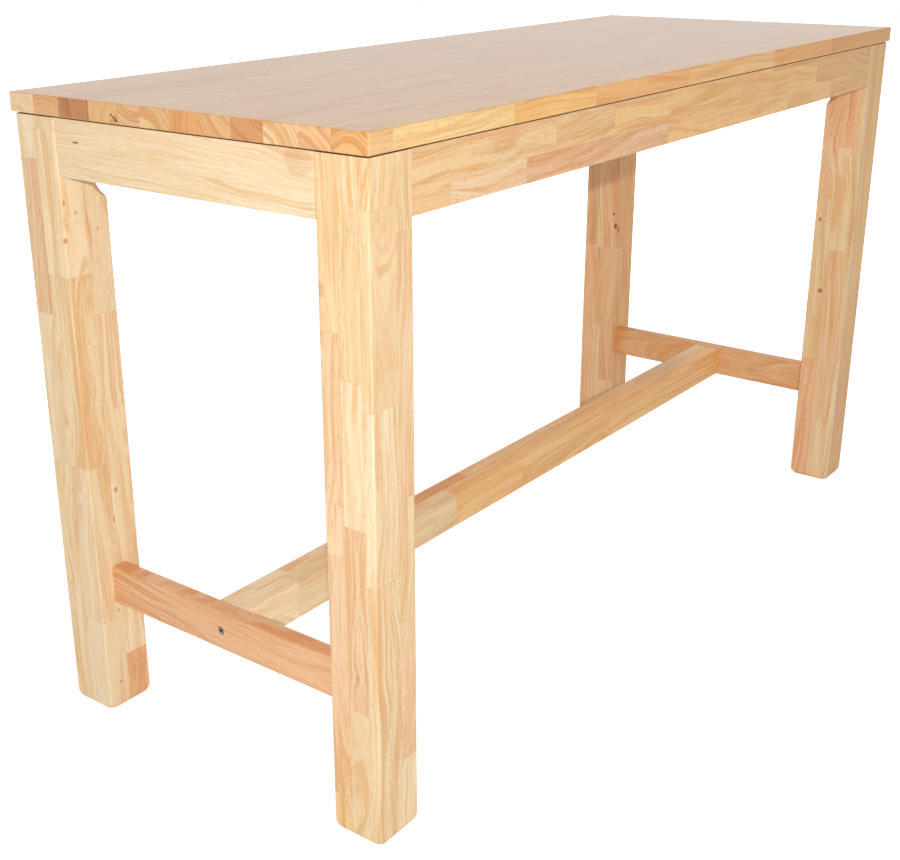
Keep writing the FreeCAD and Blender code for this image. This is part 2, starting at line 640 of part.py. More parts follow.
def add_corner_block(corner, side_x, side_y):
    """A mitred block across a corner. Its own X axis runs from the leg's axis along the diagonal."""
    name = f"corner_block_{corner}"
    block = new_body(name)
    outline = new_sketch(block, f"{name}_outline", "XY_Plane")
    draw_loop(outline, [(0, -1), (1, -2), (1, 2), (0, 1)])
    outline.addConstraint(Sketcher.Constraint("Symmetric", 1, 1, 1, 2, -1))
    outline.addConstraint(Sketcher.Constraint("Symmetric", 3, 1, 3, 2, -1))
    measure(outline, "front", "DistanceX", (-1, 1, 0, 1), BLOCK_FRONT)
    measure(outline, "back", "DistanceX", (-1, 1, 1, 1), BLOCK_BACK)
    mitre = f"{LEG_TO_APRON} * sqrt(2)"
    measure(outline, "front_length", "DistanceY", (3, 2, 3, 1), f"2 * ({BLOCK_FRONT} + {mitre})")
    measure(outline, "back_length", "DistanceY", (1, 1, 1, 2), f"2 * ({BLOCK_BACK} + {mitre})")
    raise_pad(block, f"{name}_blank", outline, "block_height")

    bolts = [("0", f"block_height / 2 + {row} * hanger_spread / 2") for row in (-1, 1)]
    drill(block, f"{name}_bolt_holes", "YZ_Plane", BOLT_HOLE, bolts, f"2 * {BLOCK_BACK}", outward=True)

    # Upright screws into the board, with recesses from below
    uprights = [(BLOCK_MIDDLE, f"{row} * block_top_screw_spread / 2") for row in (-1, 1)]
    sink_depth = f"{SCREW_SEAT} - ({TOP_UNDERSIDE} - block_height)"
    drill(block, f"{name}_screw_holes", "XY_Plane", LARGE_SCREW_HOLE, uprights, "block_height", outward=True)
    drill(block, f"{name}_head_recesses", "XY_Plane", LARGE_HEAD_SINK, uprights, sink_depth, outward=True)

    # Screws into the two aprons, square to their faces, with recesses from the room side
    for hand in (-1, 1):
        rows = [
            (f"{-hand} * {BLOCK_SCREW_REACH}", f"block_height / 2 + {row} * block_screw_spread / 2")
            for row in (-1, 1)
        ]
        where = {
            "right": f"{-hand} * {BLOCK_SCREW_SEAT} / sqrt(2)",
            "out": f"-{BLOCK_SCREW_SEAT} / sqrt(2)",
            "turn": EIGHTH_TURN * hand,
        }
        tag = "a" if hand < 0 else "b"
        holes, sinks = f"{name}_apron_holes_{tag}", f"{name}_apron_sinks_{tag}"
        drill(block, holes, "YZ_Plane", SMALL_SCREW_HOLE, rows, "2 * block_screw_wood", **where)
        drill(block, sinks, "YZ_Plane", SMALL_HEAD_SINK, rows, "block_thickness", outward=True, **where)

    bottom = f"{TOP_UNDERSIDE} - block_height"
    place(block, f"{side_x} * {LEG_X}", f"{side_y} * {LEG_Y}", bottom, facing(-side_x, -side_y))
    keep(block, name)


# Cleats


def cleat_places():
    """Name and centre of each cleat, and the side of the table that it lies against."""
    long_y = f"({INNER_Y} - cleat_width / 2)"
    end_x = f"({INNER_X} - cleat_width / 2)"
    yield "front_left", "-cleat_reach", f"-{long_y}", 0, -1
    yield "front_right", "cleat_reach", f"-{long_y}", 0, -1
    yield "back_left", "-cleat_reach", long_y, 0, 1
    yield "back_right", "cleat_reach", long_y, 0, 1
    yield "left", f"-{end_x}", "0", -1, 0
    yield "right", end_x, "0", 1, 0


def cleat_steps(spread):
    """Two places of each cleat, a spread apart along it, with the side that it lies against."""
    for _, x, y, side_x, side_y in cleat_places():
        for end in (-1, 1):
            along_x = f"{x} + {end * side_y} * {spread} / 2"
            along_y = f"{y} + {end * side_x} * {spread} / 2"
            yield along_x, along_y, side_x, side_y


def cleat_screw_places():
    """Upright screws of all cleats."""
    return [(x, y) for x, y, *_ in cleat_steps("cleat_top_spread")]


def sunk_holes(body, name, sketch):
    """Through holes with a countersink for a flat screw head."""
    doc.recompute()
    before = body.Shape.Volume
    hole = body.newObject("PartDesign::Hole", name)
    hole.Profile = sketch
    doc.recompute()
    hole.DepthType = "ThroughAll"
    hole.HoleCutType = "Countersink"
    hole.HoleCutCountersinkAngle = QUARTER_TURN
    bind(hole, Diameter=SMALL_SCREW_HOLE, HoleCutDiameter=f"{SMALL_HEAD} + 2 * joint_play")
    doc.recompute()
    if body.Shape.Volume >= before:
        raise RuntimeError(f"{body.Name}: {name} cuts nothing")


def add_cleat(side, x, y, side_x, side_y):
    """A batten that ties the board to an apron, with its +Y face on the apron once it is turned."""
    name = f"cleat_{side}"
    cleat = new_body(name)
    section = new_sketch(cleat, f"{name}_section", "YZ_Plane")
    draw_rectangle(section, "cleat_width", "cleat_width")
    raise_pad(cleat, f"{name}_blank", section, "cleat_length", middle=True)
    round_edges(
        cleat,
        f"{name}_edge",
        "cleat_edge_round",
        lambda edge: runs_along(edge, ALONG) and edge.BoundBox.YMax < 0 and edge.BoundBox.ZMax < 0,
    )
    side_holes = new_sketch(cleat, f"{name}_side_sketch", "XZ_Plane", out="cleat_width / 2")
    draw_circles(side_holes, SMALL_SCREW_HOLE, pair("cleat_side_spread"))
    sunk_holes(cleat, f"{name}_side_holes", side_holes)
    top_holes = new_sketch(cleat, f"{name}_top_sketch", "XY_Plane", out="-cleat_width / 2", turn=HALF_TURN)
    draw_circles(top_holes, SMALL_SCREW_HOLE, pair("cleat_top_spread"))
    sunk_holes(cleat, f"{name}_top_holes", top_holes)
    place(cleat, x, y, f"{TOP_UNDERSIDE} - cleat_width / 2", facing(side_x, side_y, QUARTER_TURN))
    keep(cleat, name)


# Fasteners: each kind is turned once about its own X axis, and linked wherever it is used


def turned(name, stations):
    """A body of revolution about X through (along, radius) stations; it starts and ends on the axis."""
    body = new_body(name)
    profile = new_sketch(body, f"{name}_profile", "XY_Plane")
    count = len(stations)
    draw_loop(profile, [(index / count, 1 if 0 < index < count - 1 else 0) for index in range(count)])
    for index, (along, radius) in enumerate(stations):
        if radius == "0":
            profile.addConstraint(Sketcher.Constraint("PointOnObject", index, 1, -1))
        else:
            measure(profile, f"radius_{index}", "DistanceY", (-1, 1, index, 1), radius)
        measure(profile, f"along_{index}", "DistanceX", (-1, 1, index, 1), along)
    spin = body.newObject("PartDesign::Revolution", f"{name}_turning")
    spin.Profile = profile
    spin.ReferenceAxis = (profile, ["H_Axis"])
    doc.recompute()
    return body


def peg(name, length, diameter):
    """A dowel about its own middle, with bevelled ends."""
    stations = [
        (f"-{length} / 2", "0"),
        (f"-{length} / 2", f"{diameter} / 2 - dowel_bevel"),
        (f"-{length} / 2 + dowel_bevel", f"{diameter} / 2"),
        (f"{length} / 2 - dowel_bevel", f"{diameter} / 2"),
        (f"{length} / 2", f"{diameter} / 2 - dowel_bevel"),
        (f"{length} / 2", "0"),
    ]
    return turned(name, stations)


def cut_away(name, base, tools):
    """A piece with other shapes taken out of it."""
    tool = doc.addObject("Part::Compound", f"{name}_tools")
    tool.Links = tools
    cut = doc.addObject("Part::Cut", name)
    cut.Base = base
    cut.Tool = tool
    doc.recompute()
    return cut


def cross_recess(name, base, shank, head, top):
    """Cut a cross into a screw head whose face is at X = top."""
    bars = []
    wide = f"recess_width_share * {head}"
    long = f"recess_length_share * {head}"
    for number, (across, up) in enumerate([(wide, long), (long, wide)]):
        bar = doc.addObject("Part::Box", f"{name}_bar_{number}")
        bind(bar, Length=f"recess_depth_share * {shank} + cut_overrun", Width=across, Height=up)
        place(bar, f"{top} - cut_overrun", f"-({across}) / 2", f"-({up}) / 2")
        bars.append(bar)
    return cut_away(name, base, bars)


def pan_screw(name, shank, head, tip, length):
    """A pan-head wood screw whose head seats at X = 0 and whose point looks along +X."""
    height = f"(head_height_ratio * {shank})"
    stations = [
        (f"-{height}", "0"),
        (f"-{height}", f"{head} / 2 - head_round_share * {height}"),
        (f"-{height} * (1 - head_round_share)", f"{head} / 2"),
        ("0", f"{head} / 2"),
        ("0", f"{shank} / 2"),
        (f"{length} - {tip}", f"{shank} / 2"),
        (length, "0"),
    ]
    return cross_recess(name, turned(f"{name}_blank", stations), shank, head, f"-{height}")


def flat_screw(name, shank, head, tip, length):
    """A countersunk wood screw whose face is at X = 0 and whose point looks along +X."""
    stations = [
        ("0", "0"),
        ("0", f"{head} / 2"),
        (f"({head} - {shank}) / 2", f"{shank} / 2"),
        (f"{length} - {tip}", f"{shank} / 2"),
        (length, "0"),
    ]
    return cross_recess(name, turned(f"{name}_blank", stations), shank, head, "0")


def hanger_bolt():
    """A bolt with a wood screw end, from X = 0 at the face of the leg."""
    stations = [
        ("-hanger_wood_length", "0"),
        ("-hanger_wood_length + hanger_tip", "bolt_diameter / 2"),
        ("hanger_length - hanger_wood_length - bolt_bevel", "bolt_diameter / 2"),
        ("hanger_length - hanger_wood_length", "bolt_diameter / 2 - bolt_bevel"),
        ("hanger_length - hanger_wood_length", "0"),
    ]
    return turned("one_hanger_bolt", stations)


def connector_bolt():
    """A socket-head bolt whose head seats at X = 0 and whose end looks along +X."""
    stations = [
        ("-connector_head_height", "0"),
        ("-connector_head_height", "connector_head_diameter / 2 - bolt_bevel"),
        ("-connector_head_height + bolt_bevel", "connector_head_diameter / 2"),
        ("0", "connector_head_diameter / 2"),
        ("0", "bolt_diameter / 2"),
        ("connector_length - bolt_bevel", "bolt_diameter / 2"),
        ("connector_length", "bolt_diameter / 2 - bolt_bevel"),
        ("connector_length", "0"),
    ]
    key = doc.addObject("Part::Prism", "key_socket")
    bind(key, Circumradius="connector_key / sqrt(3)", Height="connector_key_depth + cut_overrun")
    place(key, "-connector_head_height - cut_overrun", turn=Rotation(ACROSS, QUARTER_TURN))
    return cut_away("one_connector_bolt", turned("connector_blank", stations), [key])


def bored(name, base, diameter, length):
    """A piece along X from 0 with a bore right through it."""
    bore = doc.addObject("Part::Cylinder", f"{name}_bore")
    bind(bore, Radius=f"({diameter}) / 2", Height=f"{length} + 2 * cut_overrun")
    place(bore, "-cut_overrun", turn=Rotation(ACROSS, QUARTER_TURN))
    return cut_away(name, base, [bore])


def washer():
    """A flat washer along X from 0."""
    disc = doc.addObject("Part::Cylinder", "washer_disc")
    bind(disc, Radius="washer_diameter / 2", Height="washer_thickness")
    place(disc, turn=Rotation(ACROSS, QUARTER_TURN))
    return bored("one_washer", disc, BOLT_HOLE, "washer_thickness")


def nut():
    """A hexagon nut along X from 0."""
    prism = doc.addObject("Part::Prism", "nut_prism")
    bind(prism, Circumradius="nut_flats / sqrt(3)", Height="nut_thickness")
    place(prism, turn=Rotation(ACROSS, QUARTER_TURN))
    return bored("one_nut", prism, "bolt_diameter + 2 * joint_play", "nut_thickness")


def barrel_nut():
    """An upright cross nut about its own middle, with a bore along X and a slot in its lower end."""
    barrel = doc.addObject("Part::Cylinder", "barrel_blank")
    bind(barrel, Radius="barrel_diameter / 2", Height="barrel_length")
    place(barrel, z="-barrel_length / 2")
    bore = doc.addObject("Part::Cylinder", "barrel_bore")
    bind(bore, Radius="bolt_diameter / 2 + joint_play", Height="barrel_diameter + 2 * cut_overrun")
    place(bore, "-barrel_diameter / 2 - cut_overrun", turn=Rotation(ACROSS, QUARTER_TURN))
    slot = doc.addObject("Part::Box", "barrel_slot")
    slot_length = "(barrel_diameter + 2 * cut_overrun)"
    bind(slot, Length=slot_length, Width="barrel_slot_width", Height="barrel_slot_depth + cut_overrun")
    place(slot, f"-{slot_length} / 2", "-barrel_slot_width / 2", "-barrel_length / 2 - cut_overrun")
    return cut_away("one_barrel_nut", barrel, [bore, slot])


def add_group(name, original, places):
    """One group of like fasteners: links to the original at (x, y, z, turn) places."""
    copies = []
    for number, (x, y, z, turn) in enumerate(places):
        copy = doc.addObject("App::Link", f"{name}_{number}")
        copy.LinkedObject = original
        place(copy, x, y, z, turn, "LinkPlacement")
        copies.append(copy)
    group = doc.addObject("Part::Compound", name)
    group.Links = copies
    keep(group, name)


POINT_UP = Rotation(ACROSS, -QUARTER_TURN)


def leg_bolt_places(inward):
    """Two places at each leg, along its diagonal."""
    for _, side_x, side_y in CORNERS:
        x, y = corner_place(side_x, side_y, inward)
        for row in (-1, 1):
            z = f"{BLOCK_CENTRE_HEIGHT} + {row} * hanger_spread / 2"
            yield x, y, z, facing(-side_x, -side_y)


def block_screw_places():
    """Four screws of each corner block, square to the aprons."""
    for _, side_x, side_y in CORNERS:
        for row in (-1, 1):
            z = f"{BLOCK_CENTRE_HEIGHT} + {row} * block_screw_spread / 2"
            reach = f"{side_x} * ({LEG_X} - {BLOCK_SCREW_REACH})"
            seat = f"{side_y} * ({LEG_Y} + {BLOCK_SCREW_SEAT})"
            yield reach, seat, z, facing(0, side_y)
            reach = f"{side_y} * ({LEG_Y} - {BLOCK_SCREW_REACH})"
            seat = f"{side_x} * ({LEG_X} + {BLOCK_SCREW_SEAT})"
            yield seat, reach, z, facing(side_x, 0)


def top_screw_places():
    """Upright screws through the corner blocks and the cross rail."""
    found = [("0", step) for step in CROSS_SCREW_STEPS]
    for _, side_x, side_y in CORNERS:
        for row in (-1, 1):
            found.append(corner_place(side_x, side_y, BLOCK_MIDDLE, f"{row} * block_top_screw_spread / 2"))
    return found


def cleat_fastener_places():
    """Screws of the cleats: two into the board and two into the apron each."""
    for x, y in cleat_screw_places():
        yield x, y, f"{TOP_UNDERSIDE} - cleat_width", POINT_UP
    for x, y, side_x, side_y in cleat_steps("cleat_side_spread"):
        seat_x = f"{x} - {side_x} * cleat_width / 2"
        seat_y = f"{y} - {side_y} * cleat_width / 2"
        yield seat_x, seat_y, f"{TOP_UNDERSIDE} - cleat_width / 2", facing(side_x, side_y)


def apron_dowel_places():
    """Two dowels at each end of each apron, centred on the joint."""
    for _, side_x, side_y in CORNERS:
        for row in (-1, 1):
            z = f"{APRON_MIDDLE} + {row} * dowel_spread / 2"
            yield f"{side_x} * {LONG_SPAN} / 2", f"{side_y} * {APRON_Y}", z, facing(1, 0)
            yield f"{side_x} * {APRON_X}", f"{side_y} * {SHORT_SPAN} / 2", z, facing(0, 1)


PIN_SHIFT = "(pin_length / 2 - pin_short_side)"


def cross_pin_places():
    """Two dowels at each end of the cross rail."""
    for side in (-1, 1):
        for row in (-1, 1):
            z = f"{TOP_UNDERSIDE} - cross_rail_height / 2 + {row} * cross_pin_spread / 2"
            yield "0", f"{side} * ({INNER_Y} - {PIN_SHIFT})", z, facing(0, 1)


def stretcher_pin_places():
    """Two dowels at each end of the stretcher."""
    for side in (-1, 1):
        for row in (-1, 1):
            y = f"{row} * stretcher_pin_spread / 2"
            yield f"{side} * ({STRETCHER_LENGTH} / 2 - {PIN_SHIFT})", y, "rail_centre_height", facing(1, 0)


def connector_places():
    """One bolt through the middle of each end rail, its end towards the middle of the table."""
    for side in (-1, 1):
        x = f"{side} * ({LEG_X} + rail_thickness / 2 - connector_sink)"
        yield x, "0", "rail_centre_height", facing(-side, 0)


def barrel_places():
    """One cross nut near each end of the stretcher."""
    for side in (-1, 1):
        x = f"{side} * ({STRETCHER_LENGTH} / 2 - barrel_setback)"
        yield x, "0", "rail_centre_height", Rotation()


def add_fasteners():
    """All bolts, washers, nuts, screws and dowels, one group for each kind and use."""
    add_group("hanger_bolts", hanger_bolt(), leg_bolt_places(CUT_FACE))
    add_group("hanger_washers", washer(), leg_bolt_places(BLOCK_BACK))
    add_group("hanger_nuts", nut(), leg_bolt_places(f"({BLOCK_BACK} + washer_thickness)"))
    small_screw = ("small_screw_diameter", SMALL_HEAD, "small_screw_tip")
    large_screw = ("large_screw_diameter", LARGE_HEAD, "large_screw_tip")
    block_screw = pan_screw("one_block_screw", *small_screw, "block_screw_length")
    add_group("corner_block_screws", block_screw, block_screw_places())
    top_screw = pan_screw("one_top_screw", *large_screw, "large_screw_length")
    add_group("top_screws", top_screw, [(x, y, SCREW_SEAT, POINT_UP) for x, y in top_screw_places()])
    cleat_screw = flat_screw("one_cleat_screw", *small_screw, "cleat_screw_length")
    add_group("cleat_screws", cleat_screw, cleat_fastener_places())
    add_group("apron_dowels", peg("one_apron_dowel", "dowel_length", "dowel_diameter"), apron_dowel_places())
    pin = peg("one_pin", "pin_length", "pin_diameter")
    add_group("cross_rail_dowels", pin, cross_pin_places())
    add_group("stretcher_dowels", pin, stretcher_pin_places())
    add_group("stretcher_bolts", connector_bolt(), connector_places())
    add_group("barrel_nuts", barrel_nut(), barrel_places())


# Build the table, piece by piece

add_tabletop()
for corner in CORNERS:
    add_leg(*corner)
for side in SIDES:
    add_apron(*side)
add_end_rail("left", -1)
add_end_rail("right", 1)
add_stretcher()
add_cross_rail()
for corner in CORNERS:
    add_corner_block(*corner)
for cleat in cleat_places():
    add_cleat(*cleat)
add_fasteners()
doc.recompute()

# Check the model, then write one file for each piece

for thing in doc.Objects:
    if "Invalid" in thing.State or "Error" in thing.State:
        raise RuntimeError(f"{thing.Name} is {thing.State}")
for piece in pieces:
    if piece.Shape.isNull() or not piece.Shape.isValid():
        raise RuntimeError(f"{piece.Label} has no valid shape")
os.makedirs("parts", exist_ok=True)
for piece in pieces:
    piece.Shape.exportStep(os.path.join("parts", f"{piece.Label}.step"))
    print(piece.Label, len(piece.Shape.Solids), piece.Shape.BoundBox)
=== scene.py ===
"""A bar table of laminated rubberwood: its timbers, fittings, light and camera."""

import random
from math import radians

import bmesh
import bpy
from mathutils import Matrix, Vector


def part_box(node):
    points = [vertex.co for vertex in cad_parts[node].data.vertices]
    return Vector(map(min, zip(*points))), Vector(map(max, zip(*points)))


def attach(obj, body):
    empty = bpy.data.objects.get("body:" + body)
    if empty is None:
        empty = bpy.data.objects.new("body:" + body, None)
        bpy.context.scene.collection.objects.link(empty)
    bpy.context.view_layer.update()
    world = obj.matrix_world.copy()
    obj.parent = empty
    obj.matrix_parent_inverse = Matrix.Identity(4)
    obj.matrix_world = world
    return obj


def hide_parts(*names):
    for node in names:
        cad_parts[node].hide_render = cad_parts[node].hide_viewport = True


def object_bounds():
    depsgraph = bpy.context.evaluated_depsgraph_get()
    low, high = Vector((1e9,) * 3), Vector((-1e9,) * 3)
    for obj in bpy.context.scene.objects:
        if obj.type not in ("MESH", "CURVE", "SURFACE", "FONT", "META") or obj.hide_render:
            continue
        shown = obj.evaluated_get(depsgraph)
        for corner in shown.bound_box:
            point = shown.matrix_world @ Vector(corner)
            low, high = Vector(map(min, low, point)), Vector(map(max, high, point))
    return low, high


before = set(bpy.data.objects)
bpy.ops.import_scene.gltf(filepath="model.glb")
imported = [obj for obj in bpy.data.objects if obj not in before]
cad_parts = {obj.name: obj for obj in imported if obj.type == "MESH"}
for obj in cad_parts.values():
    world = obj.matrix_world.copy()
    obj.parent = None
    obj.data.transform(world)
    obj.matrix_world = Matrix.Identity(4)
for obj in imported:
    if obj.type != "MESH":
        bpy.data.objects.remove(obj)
CAD_LOW, CAD_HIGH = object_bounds()

bl_info = {
    "name": "Laminated bar table",
    "version": (1, 0, 0),
    "blender": (4, 5, 0),
    "location": "3D View > Sidebar > Bar table",
    "description": "Dresses the timbers and fittings of a bar table and lights it",
    "category": "Object",
}

MM = 0.001
X, Y, Z = range(3)

# Points nearer than this are one point.
WELD = 1e-6
# A gap that stands for no joint at all, and a place beyond every point of the table.
FAR_OFF = 1.0
BEYOND = 2.0
# A face looks along an axis when its normal has more than this share of it.
FACING = 0.7
# The middle value of a noise, and how much detail a noise can have.
MIDDLE = 0.5
SMOOTH, ROUGH, ROUGHEST = 1.0, 2.0, 3.0
WHITE = (1.0, 1.0, 1.0, 1.0)

# The wood tones, as linear colours. A cutting list names them block by block.
TONES = {
    "cream": (0.885, 0.690, 0.440),
    "pale": (0.868, 0.655, 0.400),
    "straw": (0.850, 0.618, 0.352),
    "gold": (0.850, 0.575, 0.240),
    "honey": (0.825, 0.540, 0.270),
    "peach": (0.845, 0.575, 0.335),
    "tan": (0.795, 0.485, 0.245),
    "rose": (0.790, 0.450, 0.232),
    "ochre": (0.725, 0.300, 0.015),
    "orange": (0.795, 0.440, 0.185),
    "amber": (0.715, 0.375, 0.160),
    "brown": (0.600, 0.280, 0.120),
    "saffron": (0.910, 0.520, 0.160),
    "mustard": (0.870, 0.405, 0.052),
    "wheat": (0.900, 0.560, 0.238),
    "khaki": (0.830, 0.492, 0.198),
    "apricot": (0.815, 0.420, 0.140),
    "copper": (0.880, 0.435, 0.130),
    "bisque": (0.850, 0.535, 0.250),
    "blush": (0.850, 0.510, 0.278),
}

# Cutting lists. A layer is its thickness in mm and its staves, and a stave is its
# width in mm and its blocks: each word is a block's tone and each number the joint
# that ends it, in mm along the grain. Legs are read from the top down, the other
# timbers from the left end. A tone with "~" has lively figure and one with "-" has
# hardly any. A star stands for blocks that nobody sees from the front.
LEG_LAYERS = {
    "leg_back_left": (
        (48, (43, "straw 22 pale 247 straw~ 567 pale 848 cream-"),
         (46, "cream 315 pale 480 cream 926 blush")),
        (41, (45, "cream 68 peach~ 312 pale 567 straw 790 pale"), (44, "*")),
    ),
    "leg_front_left": (
        (17, (53, "straw 68 straw 335 pale~ 592 straw~"),
         (36, "straw 104 peach~ 478 straw 665 peach 895 cream-")),
        (37, (44, "straw 298 pale 510 peach~ 800 straw"), (45, "*")),
        (35, (40, "straw 235 peach~ 480 peach 560 peach 735 peach 955 honey~"), (49, "*")),
    ),
    # The right-hand legs' tones (blush, khaki) are partly the wood's colour and partly painted
    # light, set lighter to make up for the key lamp's fall-off.
    "leg_front_right": (
        (11, (14, "straw 530 straw"), (75, "khaki 530 khaki")),
        (39, (46, "blush~ 225 straw 458 peach 872 straw"), (43, "*")),
        (39, (42, "peach~ 340 straw 720 blush"), (47, "*")),
    ),
    "leg_back_right": (
        (36, (20, "blush~ 535 tan 715 tan 890 straw"), (69, "khaki 535 khaki")),
        (19, (44, "straw 535 tan 740 straw"), (45, "*")),
        (34, (47, "tan~ 530 blush"), (42, "*")),
    ),
}
TOP_STAVES = (
    # This front stave's last blocks (mustard, ochre) are partly the wood's colour and partly
    # painted shade, darker towards the right end.
    (59, "bisque 48 gold 316 saffron 540 copper 840 saffron 1183 mustard 1460 ochre"),
    (55, "peach~ 231 *"),
    (60, "cream~ 402 *"),
    (58, "amber~ 187 *"),
    (61, "honey 345 *"),
    (57, "orange~ 268 *"),
    (59, "straw 421 *"),
    (46, "peach~ 196 *"),
    (62, "honey 309 *"),
    (66, "brown 382 *"),
    (58, "tan 214 *"),
    (59, "straw- 355 *"),
)
FRONT_APRON_ROWS = (
    (38, "honey 83 peach 267 blush~ 694 wheat 1185 wheat 1400 khaki"),
    (42, "honey~ 345 honey 515 wheat~ 700 wheat 975 wheat 1320 khaki"),
    (10, "straw 95 tan~ 320 honey 700 wheat 1100 khaki"),
)
BACK_APRON_ROWS = ((35, "*"), (32, "*"), (23, "*"))
STRETCHER_LAYERS = (
    (34, (65, "cream 120 straw 560 wheat 785 wheat 1130 wheat")),
    (30, (65, "cream 60 cream 135 straw 345 orange 645 honey 1180 peach")),
)

# How much figure a block has: by the mark on its tone, without one, and at end grain.
LIVELINESS = {"-": 0.0, "~": 0.38}
NORMAL_FIGURE = 0.25
END_GRAIN_FIGURE = 1.0

# The gap that eased upper edges leave under the tabletop: its height and its reach.
# Upward faces in this gap get painted shade, which darkens the line under the tabletop.
GAP_DROP = 2.5 * MM
GAP_REACH = 12.0 * MM

# The share of blocks that are quarter sawn, unless a timber has its own.
QUARTERED_SHARE = 0.5

# The tones that blocks get by chance on the sides and on the tabletop.
SIDE_TONES = ("pale", "straw", "straw", "peach", "honey", "tan")
TOP_TONES = ("bisque", "wheat", "honey", "apricot")

# Knots and swirls on the faces that show: the face, mm from its left edge as it is
# looked at, mm down from its top edge, width and height in mm, and how dark it is.
# One with no darkness only bends the grain around it.
KNOTS = {
    "leg_back_left": (
        ("front", 5, 130, 4, 6, 0.42),
        ("front", 25, 148, 5, 6, 0.42),
        ("front", 65, 180, 4, 5, 0.35),
        ("left", 88, 188, 6, 9, 0.5),
        ("front", 52, 618, 9, 11, 0.5),
        ("front", 43, 668, 3, 16, 0.6),
        ("front", 25, 972, 5, 6, 0.5),
        ("front", 35, 836, 4, 4, 0.45),
        ("left", 58, 622, 7, 9, 0.2),
        ("left", 25, 430, 22, 120, 0.0),
    ),
    "leg_front_left": (
        ("left", 4, 180, 14, 22, 0.3),
        ("left", 0, 262, 4, 10, 0.5),
        ("left", 50, 745, 8, 14, 0.15),
        ("left", 13, 513, 2, 9, 0.3),
        ("left", 50, 555, 20, 70, 0.0),
        ("front", 30, 450, 18, 160, 0.0),
        ("front", 25, 840, 22, 130, 0.0),
    ),
    "leg_front_right": (
        ("left", 13, 390, 7, 10, 0.58),
        ("left", 29, 556, 13, 12, 0.6),
        ("left", 20, 635, 18, 40, 0.1),
        ("left", 56, 110, 7, 110, 0.3),
    ),
    "leg_back_right": (
        ("left", 80, 445, 7, 9, 0.8),
        ("left", 86, 475, 9, 16, 0.8),
        ("front", 9, 486, 6, 26, 0.8),
    ),
    "tabletop": (
        ("left", 241, 24, 7, 6, 0.9),
        ("left", 237, 20, 6, 5, 0.85),
        ("left", 232, 17, 5, 4, 0.8),
    ),
    "apron_left": (
        ("left", 45, 35, 15, 3, 0.85),
        ("left", 486, 16, 50, 44, 0.2),
        ("left", 150, 20, 60, 12, 0.0),
        ("left", 330, 72, 90, 14, 0.0),
    ),
    "apron_front": (
        ("front", 172, 28, 80, 5, 0.11),
        ("front", 228, 34, 100, 7, 0.12),
        ("front", 290, 43, 100, 6, 0.11),
        ("front", 215, 62, 70, 16, 0.0),
        ("front", 330, 40, 60, 14, 0.0),
        ("front", 560, 30, 70, 12, 0.0),
        ("front", 820, 60, 60, 14, 0.0),
        ("front", 1130, 35, 80, 12, 0.0),
    ),
    "end_rail_left": (
        ("left", 90, 34, 60, 14, 0.0),
        ("left", 400, 30, 90, 12, 0.0),
    ),
}

# What the marks of the wood do to a tone, and the colour of a knot's heart.
BRIGHT_SHARES = (1.05, 1.11, 1.17)
DEEP_SHARES = (0.89, 0.70, 0.51)
VEIN_SHARES = (0.91, 0.69, 0.47)
PORE_SHARES = (0.66, 0.48, 0.32)
END_GRAIN_SHARES = (0.87, 0.71, 0.54)
STAIN_SHARES = (0.72, 0.42, 0.24)
KNOT_HEART = (0.11, 0.045, 0.018, 1.0)

# The waves that bend the growth rings: turns a metre along, across and through the
# log, and how far they push a ring, in mm.
RING_WAVES = (
    ((3.4, 8.0, 8.0), 46.0),
    ((11.0, 30.0, 30.0), 6.0),
    ((45.0, 110.0, 110.0), 1.3),
)

# How deep the pores and fibres are felt in the lacquer, as bump strengths.
SATIN_RELIEF = 0.22
TOP_RELIEF = 0.03
DOWEL_RELIEF = 0.3


def colour_setting(name, description, default):
    """Gives a colour that a user can change."""
    return bpy.props.FloatVectorProperty(
        name=name,
        description=description,
        subtype="COLOR",
        size=3,
        min=0.0,
        max=1.0,
        default=default,
    )


def tone_setting(tone):
    """Gives one tone of the palette as a colour that a user can change."""
    description = "Colour of the blocks that a cutting list calls " + tone
    return colour_setting(tone.capitalize(), description, TONES[tone])


def share_setting(name, description, default, low=0.0, high=1.0):
    """Gives a plain number between two limits that a user can change."""
    return bpy.props.FloatProperty(
        name=name,
        description=description,
        default=default,
        min=low,
        max=high,
        subtype="FACTOR",
    )


def length_setting(name, description, default, low, high):
    """Gives a length in metres between two limits that a user can change."""
    return bpy.props.FloatProperty(
        name=name,
        description=description,
        default=default,
        min=low,
        max=high,
        subtype="DISTANCE",
        unit="LENGTH",
    )


def power_setting(name, description, default):
    """Gives the power of a lamp, in watts, that a user can change."""
    return bpy.props.FloatProperty(
        name=name,
        description=description,
        default=default,
        min=0.0,
        subtype="POWER",
        unit="POWER",
    )


class TableTimberSettings(bpy.types.PropertyGroup):
    """How the wood is grown, sawn and finished."""

    __annotations__ = {tone: tone_setting(tone) for tone in TONES}
    __annotations__.update(
        ring_width=length_setting(
            "Ring width",
            "Distance from one growth ring to the next",
            default=3.3 * MM,
            low=1.0 * MM,
            high=20.0 * MM,
        ),
        glue_line=length_setting(
            "Glue line",
            "Width of the dark line on each side of a glued joint",
            default=0.3 * MM,
            low=0.05 * MM,
            high=2.0 * MM,
        ),
        figure=share_setting(
            "Figure",
            "How strongly the rings and veins darken the wood",
            default=1.0,
            high=2.0,
        ),
        lacquer_roughness=share_setting(
            "Lacquer roughness",
            "Roughness of the satin lacquer",
            default=0.42,
            low=0.05,
        ),
        top_roughness=share_setting(
            "Top roughness",
            "Roughness of the glossier lacquer on the tabletop",
            default=0.14,
            low=0.05,
        ),
        raw_roughness=share_setting(
            "Raw roughness",
            "Roughness of the sanded wood that has no lacquer",
            default=0.7,
            low=0.05,
        ),
    )


